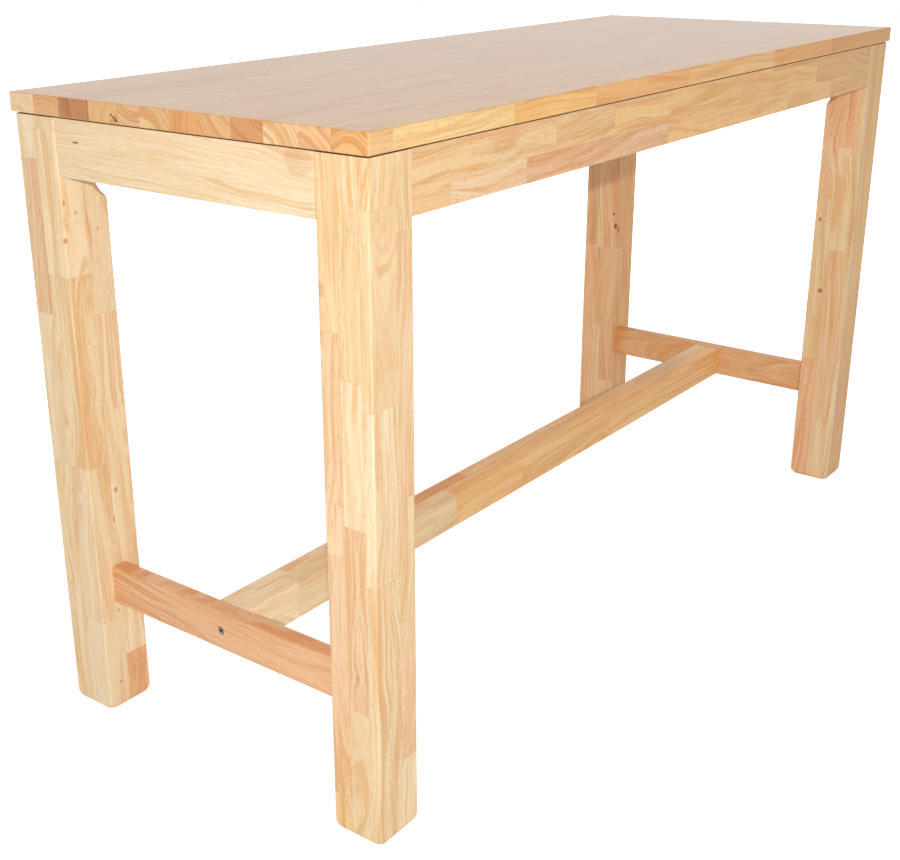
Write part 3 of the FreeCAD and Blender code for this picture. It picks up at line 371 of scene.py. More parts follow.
class TableMetalSettings(bpy.types.PropertyGroup):
    """Colours of the plated fittings."""

    zinc: colour_setting(
        "Zinc",
        "Colour of the zinc plate on bolts, nuts and washers",
        default=(0.60, 0.61, 0.63),
    )
    nickel: colour_setting(
        "Nickel",
        "Colour of the nickel plate on the bolts of the stretcher",
        default=(0.34, 0.32, 0.29),
    )
    yellow_zinc: colour_setting(
        "Yellow zinc",
        "Colour of the plate on the screws",
        default=(0.66, 0.50, 0.20),
    )


class TableStudioSettings(bpy.types.PropertyGroup):
    """Light, floor and background."""

    key_power: power_setting(
        "Key power",
        "Power of the small lamp above the camera, which draws the crisp shadows",
        default=54.0,
    )
    key_size: length_setting(
        "Key size",
        "Width of the small lamp above the camera",
        default=0.05,
        low=0.01,
        high=5.0,
    )
    fill_power: power_setting(
        "Fill power",
        "Power of the lamp behind the table",
        default=120.0,
    )
    fill_size: length_setting(
        "Fill size",
        "Width of the lamp behind the table",
        default=2.0,
        low=0.05,
        high=5.0,
    )
    ambient: share_setting(
        "Ambient light",
        "Strength of the even light from all around",
        default=0.54,
        high=2.0,
    )
    floor_colour: colour_setting(
        "Floor",
        "Colour of the studio floor",
        default=(0.80, 0.80, 0.80),
    )


class Flow:
    """A socket's value, which Python's operators carry on as Math nodes."""

    def __init__(self, bench, socket):
        self.bench = bench
        self.socket = socket

    def __add__(self, other):
        return self.bench.maths("ADD", self, other)

    __radd__ = __add__

    def __sub__(self, other):
        return self.bench.maths("SUBTRACT", self, other)

    def __rsub__(self, other):
        return self.bench.maths("SUBTRACT", other, self)

    def __mul__(self, other):
        return self.bench.maths("MULTIPLY", self, other)

    __rmul__ = __mul__


class Bench:
    """A node tree, with one method that adds any node to it."""

    def __init__(self, tree):
        self.tree = tree
        tree.nodes.clear()

    def node(self, kind, settings=None, values=None, out=0):
        """Adds a node, sets its settings, then its sockets, and gives one output."""
        node = self.tree.nodes.new("ShaderNode" + kind)
        for name, value in (settings or {}).items():
            setattr(node, name, value)
        for name, value in (values or {}).items():
            if isinstance(value, Flow):
                self.tree.links.new(value.socket, node.inputs[name])
            else:
                node.inputs[name].default_value = value
        return Flow(self, node.outputs[out]) if len(node.outputs) else node

    def maths(self, operation, *values):
        """Does maths on single numbers."""
        return self.node("Math", {"operation": operation}, dict(enumerate(values)))

    def vector(self, operation, *values):
        """Does vector maths on whole vectors or colours."""
        out = "Value" if operation == "LENGTH" else "Vector"
        settings = {"operation": operation}
        return self.node("VectorMath", settings, dict(enumerate(values)), out)

    def mix(self, factor, first, second):
        """Blends two colours. The node's sockets share names, so they go by number."""
        factor_in, first_in, second_in, colour_out = 0, 6, 7, 2
        values = {factor_in: factor, first_in: first, second_in: second}
        return self.node("Mix", {"data_type": "RGBA"}, values, colour_out)

    def ease(self, value, start, end):
        """Rises smoothly from 0 at start to 1 at end."""
        values = {"Value": value, "From Min": start, "From Max": end}
        return self.node("MapRange", {"interpolation_type": "SMOOTHSTEP"}, values)

    def noise(self, place, per_metre, detail, roughness=0.5):
        """Noise with its own number of turns a metre along each axis."""
        stretched = self.vector("MULTIPLY", place, per_metre)
        values = {"Vector": stretched, "Scale": 1.0, "Detail": detail, "Roughness": roughness}
        return self.node("TexNoise", {"noise_dimensions": "3D"}, values, "Fac")

    def attribute(self, name, out="Vector"):
        """Reads what a timber's mesh stores under a name."""
        return self.node("Attribute", {"attribute_name": name}, None, out)

    def object_point(self):
        """Gives the point that is shaded, in the object's own coordinates."""
        return self.node("TexCoord", None, None, "Object")

    def split(self, vector):
        """Takes a vector apart into its three numbers."""
        parts = self.node("SeparateXYZ", None, {"Vector": vector}).socket.node
        return [Flow(self, output) for output in parts.outputs]

    def finish(self, colour, rough, bump, metallic=0.0):
        """Ends a material with one shader."""
        values = {"Base Color": colour, "Metallic": metallic, "Roughness": rough, "Normal": bump}
        surface = self.node("BsdfPrincipled", None, values)
        self.node("OutputMaterial", None, {"Surface": surface})


def new_material(name):
    """Gives an empty material and the bench for its nodes."""
    material = bpy.data.materials.new(name)
    material.use_nodes = True
    return material, Bench(material.node_tree)


def face_point(node, face, across, down):
    """Turns a place on a piece's front or left face into a point in metres."""
    low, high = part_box(node)
    height = high.z - down * MM
    if face == "front":
        return Vector((low.x + across * MM, low.y, height))
    return Vector((low.x, high.y - across * MM, height))


def knot_fields(bench, node):
    """Gives each knot's stain, its dark heart and the swirl of the grain around it."""
    point = bench.object_point()
    depth = 6 * MM
    stain_edge, stain_core = 1.25, 0.75
    heart_edge, heart_core = 0.85, 0.45
    swirl_edge, swirl_core = 3.4, 0.8
    stain_gain = 1.4
    heart_gain, heart_start = 2.0, 0.8
    least_swirl, swirl_share = 4 * MM, 0.12
    fields = []
    for face, across, down, width, height, dark in KNOTS[node]:
        centre = face_point(node, face, across, down)
        half = [width * MM / 2, depth, height * MM / 2]
        if face == "left":
            half = [half[1], half[0], half[2]]
        offset = bench.vector("SUBTRACT", point, centre)
        away = bench.vector("LENGTH", bench.vector("DIVIDE", offset, half))
        stain = bench.ease(away, stain_edge, stain_core) * min(1.0, dark * stain_gain)
        heart_strength = max(0.0, dark * heart_gain - heart_start)
        heart = bench.ease(away, heart_edge, heart_core) * heart_strength
        push = least_swirl + swirl_share * min(width, height) * MM
        swirl = bench.ease(away, swirl_edge, swirl_core) * push
        fields.append((stain, heart, swirl))
    total = fields[0]
    for more in fields[1:]:
        total = [bench.maths("MAXIMUM", *pair) for pair in zip(total, more)]
    return total


def ring_marks(bench, place, swirl, look):
    """Works out the broad bands, fine lines and thin veins that growth rings draw."""
    across_grain = (0.0, 1.0, 1.0)
    band_share, vein_share = 0.24, 0.30
    band_turns, line_turns, vein_turns = 90.0, 400.0, 60.0
    line_roughness = 0.62
    vein_edge, vein_core = 0.050, 0.015
    patch_turns = (5.0, 30.0, 30.0)
    patch_start, patch_full = 0.44, 0.60
    drift = 0.012
    along = bench.split(place)[0]
    radius = bench.vector("LENGTH", bench.vector("MULTIPLY", place, across_grain))
    for turns, reach in RING_WAVES:
        radius = radius + bench.noise(place, turns, SMOOTH) * (reach * MM)
    radius = radius + swirl
    rings = bench.node("CombineXYZ", None, {0: radius, 1: along * drift})
    per_metre = 1.0 / look.ring_width
    broad = bench.noise(rings, (per_metre * band_share, band_turns, 1.0), ROUGH)
    lines = bench.noise(rings, (per_metre, line_turns, 1.0), ROUGHEST, line_roughness)
    contour = bench.noise(rings, (per_metre * vein_share, vein_turns, 1.0), SMOOTH)
    veins = bench.ease(bench.maths("ABSOLUTE", contour - MIDDLE), vein_edge, vein_core)
    patches = bench.ease(bench.noise(place, patch_turns, SMOOTH), patch_start, patch_full)
    return broad, lines, veins * patches


def fibre_marks(bench, place):
    """Works out the wild patches, streaks, fibres and pores along the grain."""
    wild_turns = (6.5, 20.0, 20.0)
    wild_start, wild_full = 0.47, 0.66
    streak_turns, streak_roughness = (6.0, 230.0, 230.0), 0.6
    fibre_turns = (70.0, 620.0, 620.0)
    pore_turns = (110.0, 700.0, 700.0)
    pore_start, pore_full = 0.56, 0.70
    wild = bench.ease(bench.noise(place, wild_turns, SMOOTH), wild_start, wild_full)
    streaks = bench.noise(place, streak_turns, ROUGHEST, streak_roughness)
    fibres = bench.noise(place, fibre_turns, ROUGH)
    pores = bench.ease(bench.noise(place, pore_turns, SMOOTH), pore_start, pore_full)
    return wild, streaks, fibres, pores


def glued_joints(bench, glue_line):
    """Draws a line on both sides of each glued joint."""
    gaps = bench.attribute("stave_low"), bench.attribute("stave_high")
    near = bench.split(bench.vector("MINIMUM", *gaps))
    nearest = bench.maths("MINIMUM", bench.maths("MINIMUM", near[0], near[1]), near[2])
    core_share = 0.4
    return bench.ease(nearest, glue_line, glue_line * core_share)


def wood(name, node, roughness, relief, plain_tone=None):
    """Laminated rubberwood: rings, veins, fibres, pores, knots, joints and end grain."""
    look = bpy.context.scene.table_timber
    material, bench = new_material(name)
    sawn = plain_tone is None
    if sawn:
        place = bench.attribute("stave_place")
        tone = bench.attribute("stave_tone", "Color")
        figure = bench.attribute("stave_tone", "Alpha")
    else:
        place = bench.object_point()
        tone = bench.node("CombineXYZ", None, dict(enumerate(plain_tone)))
        figure = bench.node("Value")
        figure.socket.default_value = NORMAL_FIGURE
    knotty = node in KNOTS
    stain, heart, swirl = knot_fields(bench, node) if knotty else (0.0, 0.0, 0.0)
    broad, lines, veins = ring_marks(bench, place, swirl, look)
    wild, streaks, fibres, pores = fibre_marks(bench, place)
    liveliest = 0.5
    end_start, end_full = 0.6, 0.9
    lively = bench.ease(figure, NORMAL_FIGURE, liveliest)
    wild = bench.maths("MAXIMUM", wild * figure * (1.0 / NORMAL_FIGURE), lively)
    wild = bench.node("Clamp", None, {"Value": wild})
    end = bench.ease(figure, end_start, end_full)

    even_depth = 0.34
    grain_weight = 0.9
    band_start, band_gain = 0.5, 5.0
    wild_gain, end_gain = 3.0, 3.2
    line_weight = grain_weight + wild * wild_gain + end * end_gain
    ringed = (broad - MIDDLE) * (band_start + figure * band_gain) + (lines - MIDDLE) * line_weight
    grained = (streaks - MIDDLE) * grain_weight + (fibres - MIDDLE) * grain_weight
    depth = bench.node("Clamp", None, {"Value": even_depth + ringed * look.figure + grained})

    vein_strength, end_strength, joint_strength = 0.70, 0.70, 0.45
    even_pores, wild_pores = 0.12, 0.30
    bright, deep, veined, pored = (
        bench.vector("MULTIPLY", tone, shares)
        for shares in (BRIGHT_SHARES, DEEP_SHARES, VEIN_SHARES, PORE_SHARES)
    )
    colour = bench.mix(depth, bright, deep)
    colour = bench.mix(veins * (vein_strength * look.figure), colour, veined)
    colour = bench.mix(pores * (even_pores + wild * wild_pores), colour, pored)
    if sawn:
        ended = bench.vector("MULTIPLY", colour, END_GRAIN_SHARES)
        colour = bench.mix(end * end_strength, colour, ended)
        joint = glued_joints(bench, look.glue_line)
        colour = bench.mix(joint * joint_strength, colour, pored)
    if knotty:
        colour = bench.mix(stain, colour, bench.vector("MULTIPLY", colour, STAIN_SHARES))
        colour = bench.mix(heart, colour, KNOT_HEART)

    fibre_dulling, pore_dulling, end_dulling = 0.6, 0.5, 0.10
    fibre_height, line_height = 0.5, 0.25
    bump_reach = 0.15 * MM
    rough = roughness + (fibres - MIDDLE) * (relief * fibre_dulling)
    rough = rough + pores * (relief * pore_dulling) + end * end_dulling
    height = fibres * fibre_height - pores + lines * line_height
    values = {"Strength": relief, "Distance": bump_reach, "Height": height}
    bench.finish(colour, rough, bench.node("Bump", None, values))
    return material


def plated(name, colour, roughness, wear):
    """Plated steel: fine turning lines, dull patches and a few specks."""
    cloud_turns = (90.0, 90.0, 90.0)
    line_turns = (400.0, 400.0, 2600.0)
    speck_turns = (900.0, 900.0, 900.0)
    cloud_start, cloud_full = 0.35, 0.7
    speck_start, speck_full = 0.62, 0.72
    dull_share = 0.62
    speck_colour = (0.16, 0.14, 0.12, 1.0)
    speck_strength = 0.35
    cloud_dulling, speck_dulling = 0.16, 0.2
    bump_strength, bump_reach = 0.25, 0.05 * MM
    material, bench = new_material(name)
    point = bench.object_point()
    cloud = bench.noise(point, cloud_turns, ROUGHEST)
    lines = bench.noise(point, line_turns, ROUGH)
    specks = bench.ease(bench.noise(point, speck_turns, ROUGH), speck_start, speck_full)
    dull = [channel * dull_share for channel in colour]
    worn = bench.ease(cloud, cloud_start, cloud_full) * wear
    tint = bench.mix(worn, (*colour, 1.0), (*dull, 1.0))
    tint = bench.mix(specks * speck_strength, tint, speck_colour)
    rough = roughness + cloud * cloud_dulling + specks * speck_dulling
    values = {"Strength": bump_strength, "Distance": bump_reach, "Height": lines}
    bench.finish(tint, rough, bench.node("Bump", None, values), metallic=1.0)
    return material


def size_mm(node, axis):
    """Measures a CAD node along one axis, in mm."""
    low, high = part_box(node)
    return (high[axis] - low[axis]) / MM


def plank(node, across, through, tone):
    """Writes the cutting list of a timber that is one piece of wood."""
    return ((size_mm(node, through), (size_mm(node, across), tone)),)


def faces_between(bm, low, high):
    """Finds the faces whose middle lies in a box."""
    found = []
    for face in bm.faces:
        middle = face.calc_center_median()
        if all(low[axis] - WELD <= middle[axis] <= high[axis] + WELD for axis in (X, Y, Z)):
            found.append(face)
    return found


def saw(bm, low, high, axis, place):
    """Cuts the faces in a box along one plane, so that a joint lies on an edge."""
    faces = faces_between(bm, low, high)
    edges = {edge: None for face in faces for edge in face.edges}
    verts = {vert: None for face in faces for vert in face.verts}
    normal = Vector((0.0, 0.0, 0.0))
    normal[axis] = 1.0
    bmesh.ops.bisect_plane(
        bm,
        geom=[*verts, *edges, *faces],
        dist=WELD,
        plane_co=normal * place,
        plane_no=normal,
    )


def chance_blocks(dice, start, length, words, names):
    """Makes up the blocks that nobody sees from the front, as a cutting list."""
    place = start
    shortest, longest = 170, 430
    marks = ("", "", "~")
    while place + shortest < length:
        words.append(dice.choice(names) + dice.choice(marks))
        place += dice.randint(shortest, longest)
        words.append(str(place))
    # The last block runs to the end of the timber, so no joint ends it.
    return words[:-1]


def blocks(text, length, dice, names):
    """Reads a stave's cutting list into tones with their start and end in metres."""
    words = text.split()
    if words[-1] == "*":
        words = words[:-1]
        start = int(words[-1]) if words else 0
        words = chance_blocks(dice, start, round(length / MM), words, names)
    joints = [int(word) * MM for word in words[1::2]]
    joints = [joint for joint in joints if joint < length]
    tones = words[0::2][:len(joints) + 1]
    return list(zip(tones, [0.0] + joints, joints + [length]))


def bands(widths, start, end):
    """Lays widths in mm side by side between two planes, where the last takes the rest."""
    planes = [start]
    for width in widths[:-1]:
        planes.append(planes[-1] + width * MM)
    return list(zip(planes, planes[1:] + [end]))


class Timber:
    """A laminated timber: which way its grain, staves and layers run, and its blocks.

    Choices are the tones that chance picks from, the share of blocks that are quarter
    sawn, a tint for the broad faces, whether blocks are listed from the top down, and
    the sides whose upper edge is eased, with painted shade on the upward faces there.
    """

    def __init__(self, node, grain, across, through, layers, **choices):
        self.node = node
        self.grain = grain
        self.across = across
        self.through = through
        self.low, self.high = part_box(node)
        self.dice = random.Random(node)
        self.tones = choices.get("tones", SIDE_TONES)
        self.quartered = choices.get("quartered", QUARTERED_SHARE)
        self.tint = choices.get("tint")
        self.eased = choices.get("eased", ())
        self.planes = []
        self.blocks = []
        self.lay_up(layers, choices.get("from_top", False))

    def span(self, bounds):
        """Gives the box of a part of the timber, open where it has no bounds."""
        low = [-BEYOND] * 3
        high = [BEYOND] * 3
        for axis, pair in bounds.items():
            low[axis], high[axis] = pair
        return low, high

    def lay_up(self, layers, from_top):
        """Lists the planes to saw along and the blocks between them."""
        low, high = self.low, self.high
        length = high[self.grain] - low[self.grain]
        depth = low[self.through], high[self.through]
        width = low[self.across], high[self.across]
        layer_bands = bands([layer[0] for layer in layers], *depth)
        for layer, layer_band in zip(layers, layer_bands):
            self.planes.append(({}, self.through, layer_band[0]))
            staves = layer[1:]
            stave_bands = bands([stave[0] for stave in staves], *width)
            for (_, text), band in zip(staves, stave_bands):
                bounds = {self.through: layer_band}
                self.planes.append((bounds, self.across, band[0]))
                bounds = {self.through: layer_band, self.across: band}
                for tone, start, end in blocks(text, length, self.dice, self.tones):
                    if from_top:
                        pair = high[self.grain] - end, high[self.grain] - start
                    else:
                        pair = low[self.grain] + start, low[self.grain] + end
                    self.planes.append((bounds, self.grain, pair[0]))
                    self.blocks.append((tone, {**bounds, self.grain: pair}))

    def saw_all(self, bm):
        """Cuts the surface along every layer, then every stave, then every block."""
        order = (self.through, self.across, self.grain)
        for axis in order:
            for bounds, plane_axis, place in self.planes:
                inside = self.low[axis] + WELD < place < self.high[axis] - WELD
                if plane_axis == axis and inside:
                    saw(bm, *self.span(bounds), axis, place)

    def log_place(self, block):
        """Chooses where in its log a block was sawn from, and how its grain tilts."""
        log_length = 40.0
        widest = 45.0
        nearest, furthest = 24.0, 62.0
        steepest = 0.05
        dice = self.dice
        centre = [sum(block[axis]) / 2 for axis in (self.grain, self.across, self.through)]
        slide = dice.uniform(0.0, log_length)
        sideways = dice.uniform(-widest, widest) * MM
        depth = dice.choice((-1, 1)) * dice.uniform(nearest, furthest) * MM
        tilts = dice.uniform(-steepest, steepest), dice.uniform(-steepest, steepest)
        turned = dice.random() < self.quartered
        return centre, slide, (depth, sideways) if turned else (sideways, depth), tilts

    def face_look(self, face, tone, shade):
        """Works out a block face's colour, with painted shade in the gap under the top, and its
        figure.
        """
        look = bpy.context.scene.table_timber
        tint_share = 0.75
        painted_gap_shade = 0.22
        end = abs(face.normal[self.grain]) > FACING
        flat = abs(face.normal[self.through]) > FACING
        upper = face.calc_center_median().z > self.high.z - GAP_DROP
        figure = LIVELINESS.get(tone[-1], NORMAL_FIGURE)
        if end and not tone.endswith("-"):
            figure = END_GRAIN_FIGURE
        colour = Vector(getattr(look, tone.rstrip("~-"))) * shade
        if self.tint and flat:
            colour = colour.lerp(Vector(getattr(look, self.tint)), tint_share)
        # Painted shade: the upward faces of the easing under the tabletop are darkened to draw
        # the dark line.
        if self.eased and upper and face.normal.z > FACING:
            colour = colour * painted_gap_shade
        return colour, figure

    def mark(self, bm):
        """Stores each block's tone, place in its log and distance from its joints."""
        layers = bm.loops.layers
        place_layer = layers.float_vector.new("stave_place")
        low_layer = layers.float_vector.new("stave_low")
        high_layer = layers.float_vector.new("stave_high")
        tone_layer = layers.float_color.new("stave_tone")
        lightest, darkest = 1.03, 0.97
        axes = self.grain, self.across, self.through
        for tone, bounds in self.blocks:
            centre, slide, pith, tilts = self.log_place(bounds)
            shade = self.dice.uniform(darkest, lightest)
            for face in faces_between(bm, *self.span(bounds)):
                colour, figure = self.face_look(face, tone, shade)
                for loop in face.loops:
                    point = loop.vert.co
                    along, over, into = (point[axis] - mid for axis, mid in zip(axes, centre))
                    loop[place_layer] = (
                        along + slide,
                        over + pith[0] + along * tilts[0],
                        into + pith[1] + along * tilts[1],
                    )
                    loop[tone_layer] = (*colour, figure)
                    below, above = self.joint_gaps(point, bounds)
                    loop[low_layer] = below
                    loop[high_layer] = above

    def joint_gaps(self, point, bounds):
        """Measures how far a point is from its block's glued sides, axis by axis."""
        below = [FAR_OFF] * 3
        above = [FAR_OFF] * 3
        for axis, (start, end) in bounds.items():
            if start > self.low[axis] + WELD:
                below[axis] = point[axis] - start
            if end < self.high[axis] - WELD:
                above[axis] = end - point[axis]
        return below, above


def shave(bm, place, normal):
    """Planes off what stands beyond a slanting plane and closes the cut."""
    cut = bmesh.ops.bisect_plane(
        bm,
        geom=[*bm.verts, *bm.edges, *bm.faces],
        dist=WELD,
        plane_co=place,
        plane_no=normal,
        clear_outer=True,
    )
    rim = [item for item in cut["geom_cut"] if isinstance(item, bmesh.types.BMEdge)]
    bmesh.ops.contextual_create(bm, geom=rim)


def ease_under_top(bm, timber):
    """Shaves the upper outer edges into a gap under the tabletop, which painted shade darkens
    into a line.
    """
    low, high = timber.low, timber.high
    for side in timber.eased:
        outward = Vector(side)
        corner = Vector((
            high.x if outward.x > 0 else low.x,
            high.y if outward.y > 0 else low.y,
            high.z - GAP_DROP,
        ))
        normal = outward * GAP_DROP + Vector((0.0, 0.0, GAP_REACH))
        shave(bm, corner, normal.normalized())


def finish_timber(bm, timber, material):
    """Turns a sawn timber into a piece that stands for its CAD node."""
    sharp_angle = radians(32)
    for face in bm.faces:
        face.smooth = True
    for edge in bm.edges:
        edge.smooth = edge.calc_face_angle(0.0) < sharp_angle
    mesh = bpy.data.meshes.new(timber.node + "_timber")
    bm.to_mesh(mesh)
    bm.free()
    mesh.materials.append(material)
    piece = bpy.data.objects.new(timber.node + "_timber", mesh)
    bpy.context.scene.collection.objects.link(piece)
    weighted = piece.modifiers.new("flat_faces", "WEIGHTED_NORMAL")
    weighted.keep_sharp = True
    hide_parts(timber.node)
    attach(piece, "root")
    return piece


def make_timber(timber, roughness, relief=SATIN_RELIEF):
    """Saws a copy of a timber's solid into its blocks and finishes it."""
    bm = bmesh.new()
    bm.from_mesh(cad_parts[timber.node].data)
    bmesh.ops.remove_doubles(bm, verts=bm.verts, dist=WELD)
    ease_under_top(bm, timber)
    timber.saw_all(bm)
    bm.normal_update()
    timber.mark(bm)
    material = wood(timber.node + "_wood", timber.node, roughness, relief)
    return finish_timber(bm, timber, material)


def dress(node, material):
    """Gives a CAD node that keeps its shape a better material."""
    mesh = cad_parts[node].data
    mesh.materials.clear()
    mesh.materials.append(material)


class TABLE_OT_tabletop(bpy.types.Operator):
    """Glues up the tabletop from twelve rows of staves"""

    bl_idname = "table.tabletop"
    bl_label = "Tabletop"

    def execute(self, context):
        roughness = context.scene.table_timber.top_roughness
        layers = ((size_mm("tabletop", Z), *TOP_STAVES),)
        timber = Timber("tabletop", X, Y, Z, layers, tones=TOP_TONES, tint="apricot")
        make_timber(timber, roughness, TOP_RELIEF)
        return {"FINISHED"}


class TABLE_OT_legs(bpy.types.Operator):
    """Laminates the four legs, each from layers of staves"""

    bl_idname = "table.legs"
    bl_label = "Legs"

    def execute(self, context):
        roughness = context.scene.table_timber.lacquer_roughness
        for node, layers in LEG_LAYERS.items():
            low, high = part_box(node)
            sides = ((-1 if low.x < 0 else 1, 0, 0), (0, -1 if low.y < 0 else 1, 0))
            timber = Timber(node, Z, X, Y, layers, from_top=True, eased=sides)
            make_timber(timber, roughness)
        return {"FINISHED"}


class TABLE_OT_aprons(bpy.types.Operator):
    """Makes the long aprons from rows of blocks and the side aprons from one plank"""

    bl_idname = "table.aprons"
    bl_label = "Aprons"

    def execute(self, context):
        roughness = context.scene.table_timber.lacquer_roughness
        long_aprons = (("apron_front", FRONT_APRON_ROWS, -1), ("apron_back", BACK_APRON_ROWS, 1))
        for node, rows, side in long_aprons:
            layers = ((size_mm(node, Y), *rows),)
            timber = Timber(node, X, Z, Y, layers, eased=((0, side, 0),))
            make_timber(timber, roughness)
        for node, tone, side in (("apron_left", "cream-", -1), ("apron_right", "straw", 1)):
            layers = plank(node, Z, X, tone)
            timber = Timber(node, Y, Z, X, layers, quartered=1.0, eased=((side, 0, 0),))
            make_timber(timber, roughness)
        return {"FINISHED"}


class TABLE_OT_rails(bpy.types.Operator):
    """Makes the two end rails, each from one piece"""

    bl_idname = "table.rails"
    bl_label = "End rails"

    def execute(self, context):
        roughness = context.scene.table_timber.lacquer_roughness
        for node, tone in (("end_rail_left", "rose~"), ("end_rail_right", "tan~")):
            timber = Timber(node, Y, Z, X, plank(node, Z, X, tone))
            make_timber(timber, roughness)
        return {"FINISHED"}


class TABLE_OT_stretcher(bpy.types.Operator):
    """Laminates the long stretcher between the end rails"""

    bl_idname = "table.stretcher"
    bl_label = "Stretcher"

    def execute(self, context):
        timber = Timber("stretcher", X, Z, Y, STRETCHER_LAYERS)
        make_timber(timber, context.scene.table_timber.lacquer_roughness)
        return {"FINISHED"}


class TABLE_OT_underframe(bpy.types.Operator):
    """Makes the cross rail, corner blocks and cleats under the top"""

    bl_idname = "table.underframe"
    bl_label = "Underframe"

    def execute(self, context):
        tones = ("honey", "straw", "pale", "peach")
        roughness = context.scene.table_timber.raw_roughness
        kinds = ("cleat_", "corner_block_")
        nodes = sorted(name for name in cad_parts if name.startswith(kinds))
        nodes = ["cross_rail"] + [name for name in nodes if not name.endswith("screws")]
        for count, node in enumerate(nodes):
            sizes = [size_mm(node, axis) for axis in (X, Y, Z)]
            grain = sizes.index(max(sizes))
            across = Z if grain != Z else X
            through = X + Y + Z - grain - across
            layers = plank(node, across, through, tones[count % len(tones)])
            timber = Timber(node, grain, across, through, layers)
            make_timber(timber, roughness)
        return {"FINISHED"}


class TABLE_OT_dowels(bpy.types.Operator):
    """Finishes the dowels that pin the joints"""

    bl_idname = "table.dowels"
    bl_label = "Dowels"

    def execute(self, context):
        look = context.scene.table_timber
        material = wood("dowel_wood", None, look.raw_roughness, DOWEL_RELIEF, look.honey[:])
        for node in ("apron_dowels", "cross_rail_dowels", "stretcher_dowels"):
            dress(node, material)
        return {"FINISHED"}


class TABLE_OT_fittings(bpy.types.Operator):
    """Plates the bolts, nuts, washers and screws"""

    bl_idname = "table.fittings"
    bl_label = "Fittings"

    def execute(self, context):
        metal = context.scene.table_metal
        zinc = plated("zinc_plate", metal.zinc[:], roughness=0.28, wear=0.5)
        for node in ("hanger_bolts", "hanger_nuts", "hanger_washers", "barrel_nuts"):
            dress(node, zinc)
        nickel = plated("nickel_plate", metal.nickel[:], roughness=0.36, wear=0.6)
        dress("stretcher_bolts", nickel)
        yellow = plated("yellow_zinc_plate", metal.yellow_zinc[:], roughness=0.30, wear=0.5)
        for node in ("cleat_screws", "corner_block_screws", "top_screws"):
            dress(node, yellow)
        return {"FINISHED"}


def seen_directly(bench):
    """Is 1 for rays from the camera, and less for rays off a shiny surface."""
    share_in_gloss = 0.55
    path = bench.node("LightPath").socket.node
    camera = Flow(bench, path.outputs["Is Camera Ray"])
    shiny = Flow(bench, path.outputs["Is Glossy Ray"])
    return bench.maths("MAXIMUM", camera, shiny * share_in_gloss)


def make_world(studio):
    """Lights the table evenly from all around, and looks plain white."""
    world = bpy.data.worlds.new("studio_world")
    world.use_nodes = True
    bpy.context.scene.world = world
    bench = Bench(world.node_tree)
    even = bench.node("Background", None, {"Color": WHITE, "Strength": studio.ambient})
    white = bench.node("Background", None, {"Color": WHITE, "Strength": 1.0})
    surface = bench.node("MixShader", None, {0: seen_directly(bench), 1: even, 2: white})
    bench.node("OutputWorld", None, {"Surface": surface})


def make_floor(studio):
    """Lays a wide pale floor that keeps the table's shadow and fades to white around it."""
    half_size = 14.0
    squares = 8
    near_glow = 0.62
    fade_start, fade_end = 1.4, 3.4
    bm = bmesh.new()
    bmesh.ops.create_grid(bm, x_segments=squares, y_segments=squares, size=half_size)
    mesh = bpy.data.meshes.new("studio_floor")
    bm.to_mesh(mesh)
    bm.free()
    floor = bpy.data.objects.new("studio_floor", mesh)
    bpy.context.scene.collection.objects.link(floor)
    material, bench = new_material("floor_paint")
    paint = bench.node("BsdfDiffuse", None, {"Color": (*studio.floor_colour[:], 1.0)})
    away = bench.vector("LENGTH", bench.object_point())
    glow = near_glow + bench.ease(away, fade_start, fade_end) * (1.0 - near_glow)
    strength = seen_directly(bench) * glow
    light = bench.node("Emission", None, {"Color": WHITE, "Strength": strength})
    shown = bench.node("AddShader", None, {0: paint, 1: light})
    bench.node("OutputMaterial", None, {"Surface": shown})
    mesh.materials.append(material)


def make_lamp(name, place, target, power, size):
    """Hangs a round lamp that faces a point."""
    data = bpy.data.lights.new(name, "AREA")
    data.shape = "DISK"
    data.size = size
    data.energy = power
    lamp = bpy.data.objects.new(name, data)
    lamp.location = place
    lamp.rotation_euler = (target - place).to_track_quat("-Z", "Y").to_euler()
    bpy.context.scene.collection.objects.link(lamp)
    return lamp


def make_camera():
    """Stands the camera where the photograph was taken from."""
    photo_width = 900.0
    photo_height = 860.0
    focal_pixels = 1340.8937
    centre_column = 409.6033
    centre_row = 410.2511
    place = (-2.1478, -1.3869, 1.2994)
    pitch, roll, heading = 69.531, 0.496, -52.121
    data = bpy.data.cameras.new("photo_camera")
    data.sensor_fit = "HORIZONTAL"
    data.sensor_width = 36.0
    data.lens = focal_pixels * data.sensor_width / photo_width
    data.shift_x = (photo_width / 2 - centre_column) / photo_width
    data.shift_y = (centre_row - photo_height / 2) / photo_width
    data.clip_end = 100.0
    camera = bpy.data.objects.new("photo_camera", data)
    camera.location = place
    camera.rotation_euler = [radians(angle) for angle in (pitch, roll, heading)]
    bpy.context.scene.collection.objects.link(camera)
    bpy.context.scene.camera = camera


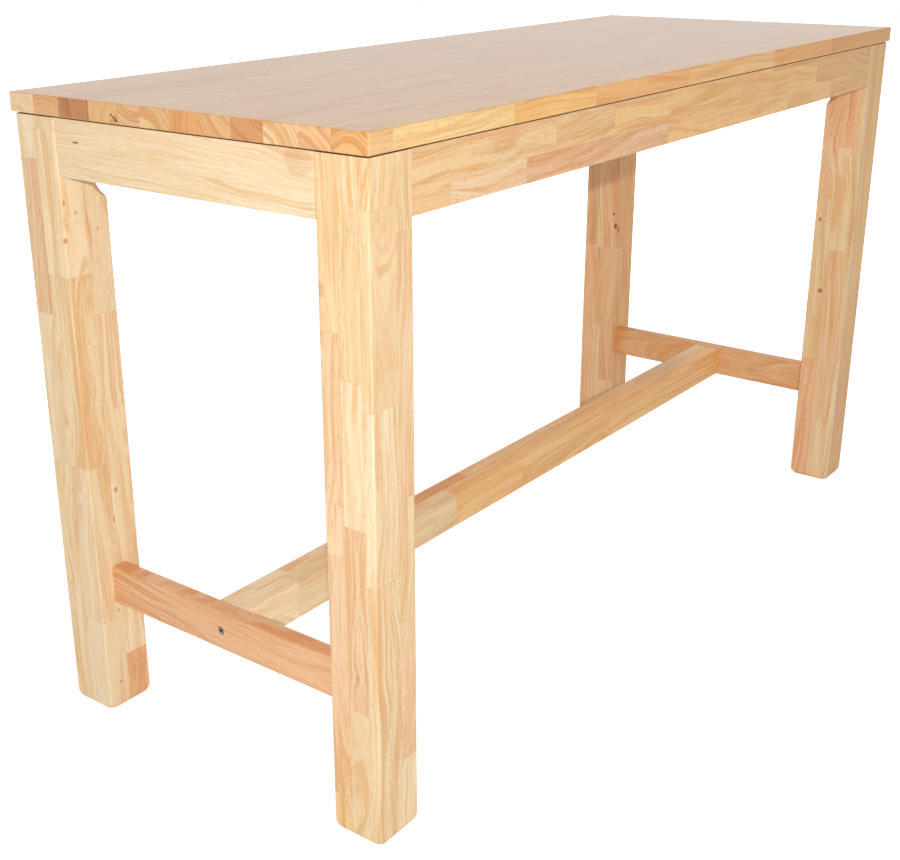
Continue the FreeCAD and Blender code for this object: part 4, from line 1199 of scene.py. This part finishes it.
class TABLE_OT_stage(bpy.types.Operator):
    """Sets up the floor, the light and the camera"""

    bl_idname = "table.stage"
    bl_label = "Stage"

    def execute(self, context):
        studio = context.scene.table_studio
        context.scene.view_settings.view_transform = "Standard"
        make_world(studio)
        make_floor(studio)
        middle = (CAD_LOW + CAD_HIGH) / 2
        key_place = Vector((-2.764, -1.954, 1.65))
        fill_place = Vector((4.2, 4.4, 2.6))
        key = make_lamp("key_lamp", key_place, middle, studio.key_power, studio.key_size)
        key.visible_glossy = False
        fill = make_lamp("fill_lamp", fill_place, middle, studio.fill_power, studio.fill_size)
        fill.visible_glossy = False
        make_camera()
        return {"FINISHED"}


OPERATORS = (
    TABLE_OT_tabletop,
    TABLE_OT_legs,
    TABLE_OT_aprons,
    TABLE_OT_rails,
    TABLE_OT_stretcher,
    TABLE_OT_underframe,
    TABLE_OT_dowels,
    TABLE_OT_fittings,
    TABLE_OT_stage,
)


class TABLE_PT_maker(bpy.types.Panel):
    """Lists the steps that make the table, with their settings"""

    bl_idname = "TABLE_PT_maker"
    bl_label = "Bar table"
    bl_space_type = "VIEW_3D"
    bl_region_type = "UI"
    bl_category = "Bar table"

    def draw(self, context):
        for operator in OPERATORS:
            self.layout.operator(operator.bl_idname)
        for name in SETTINGS:
            group = getattr(context.scene, name)
            box = self.layout.box()
            for setting in group.bl_rna.properties:
                if setting.identifier not in ("rna_type", "name"):
                    box.prop(group, setting.identifier)


SETTINGS = {
    "table_timber": TableTimberSettings,
    "table_metal": TableMetalSettings,
    "table_studio": TableStudioSettings,
}


def register():
    for name, settings in SETTINGS.items():
        bpy.utils.register_class(settings)
        setattr(bpy.types.Scene, name, bpy.props.PointerProperty(type=settings))
    for operator in OPERATORS:
        bpy.utils.register_class(operator)
    bpy.utils.register_class(TABLE_PT_maker)


def unregister():
    bpy.utils.unregister_class(TABLE_PT_maker)
    for operator in reversed(OPERATORS):
        bpy.utils.unregister_class(operator)
    for name, settings in SETTINGS.items():
        delattr(bpy.types.Scene, name)
        bpy.utils.unregister_class(settings)


def main():
    """Makes the table piece by piece."""
    register()
    for operator in OPERATORS:
        group, name = operator.bl_idname.split(".")
        getattr(getattr(bpy.ops, group), name)()


if __name__ == "__main__":
    main()
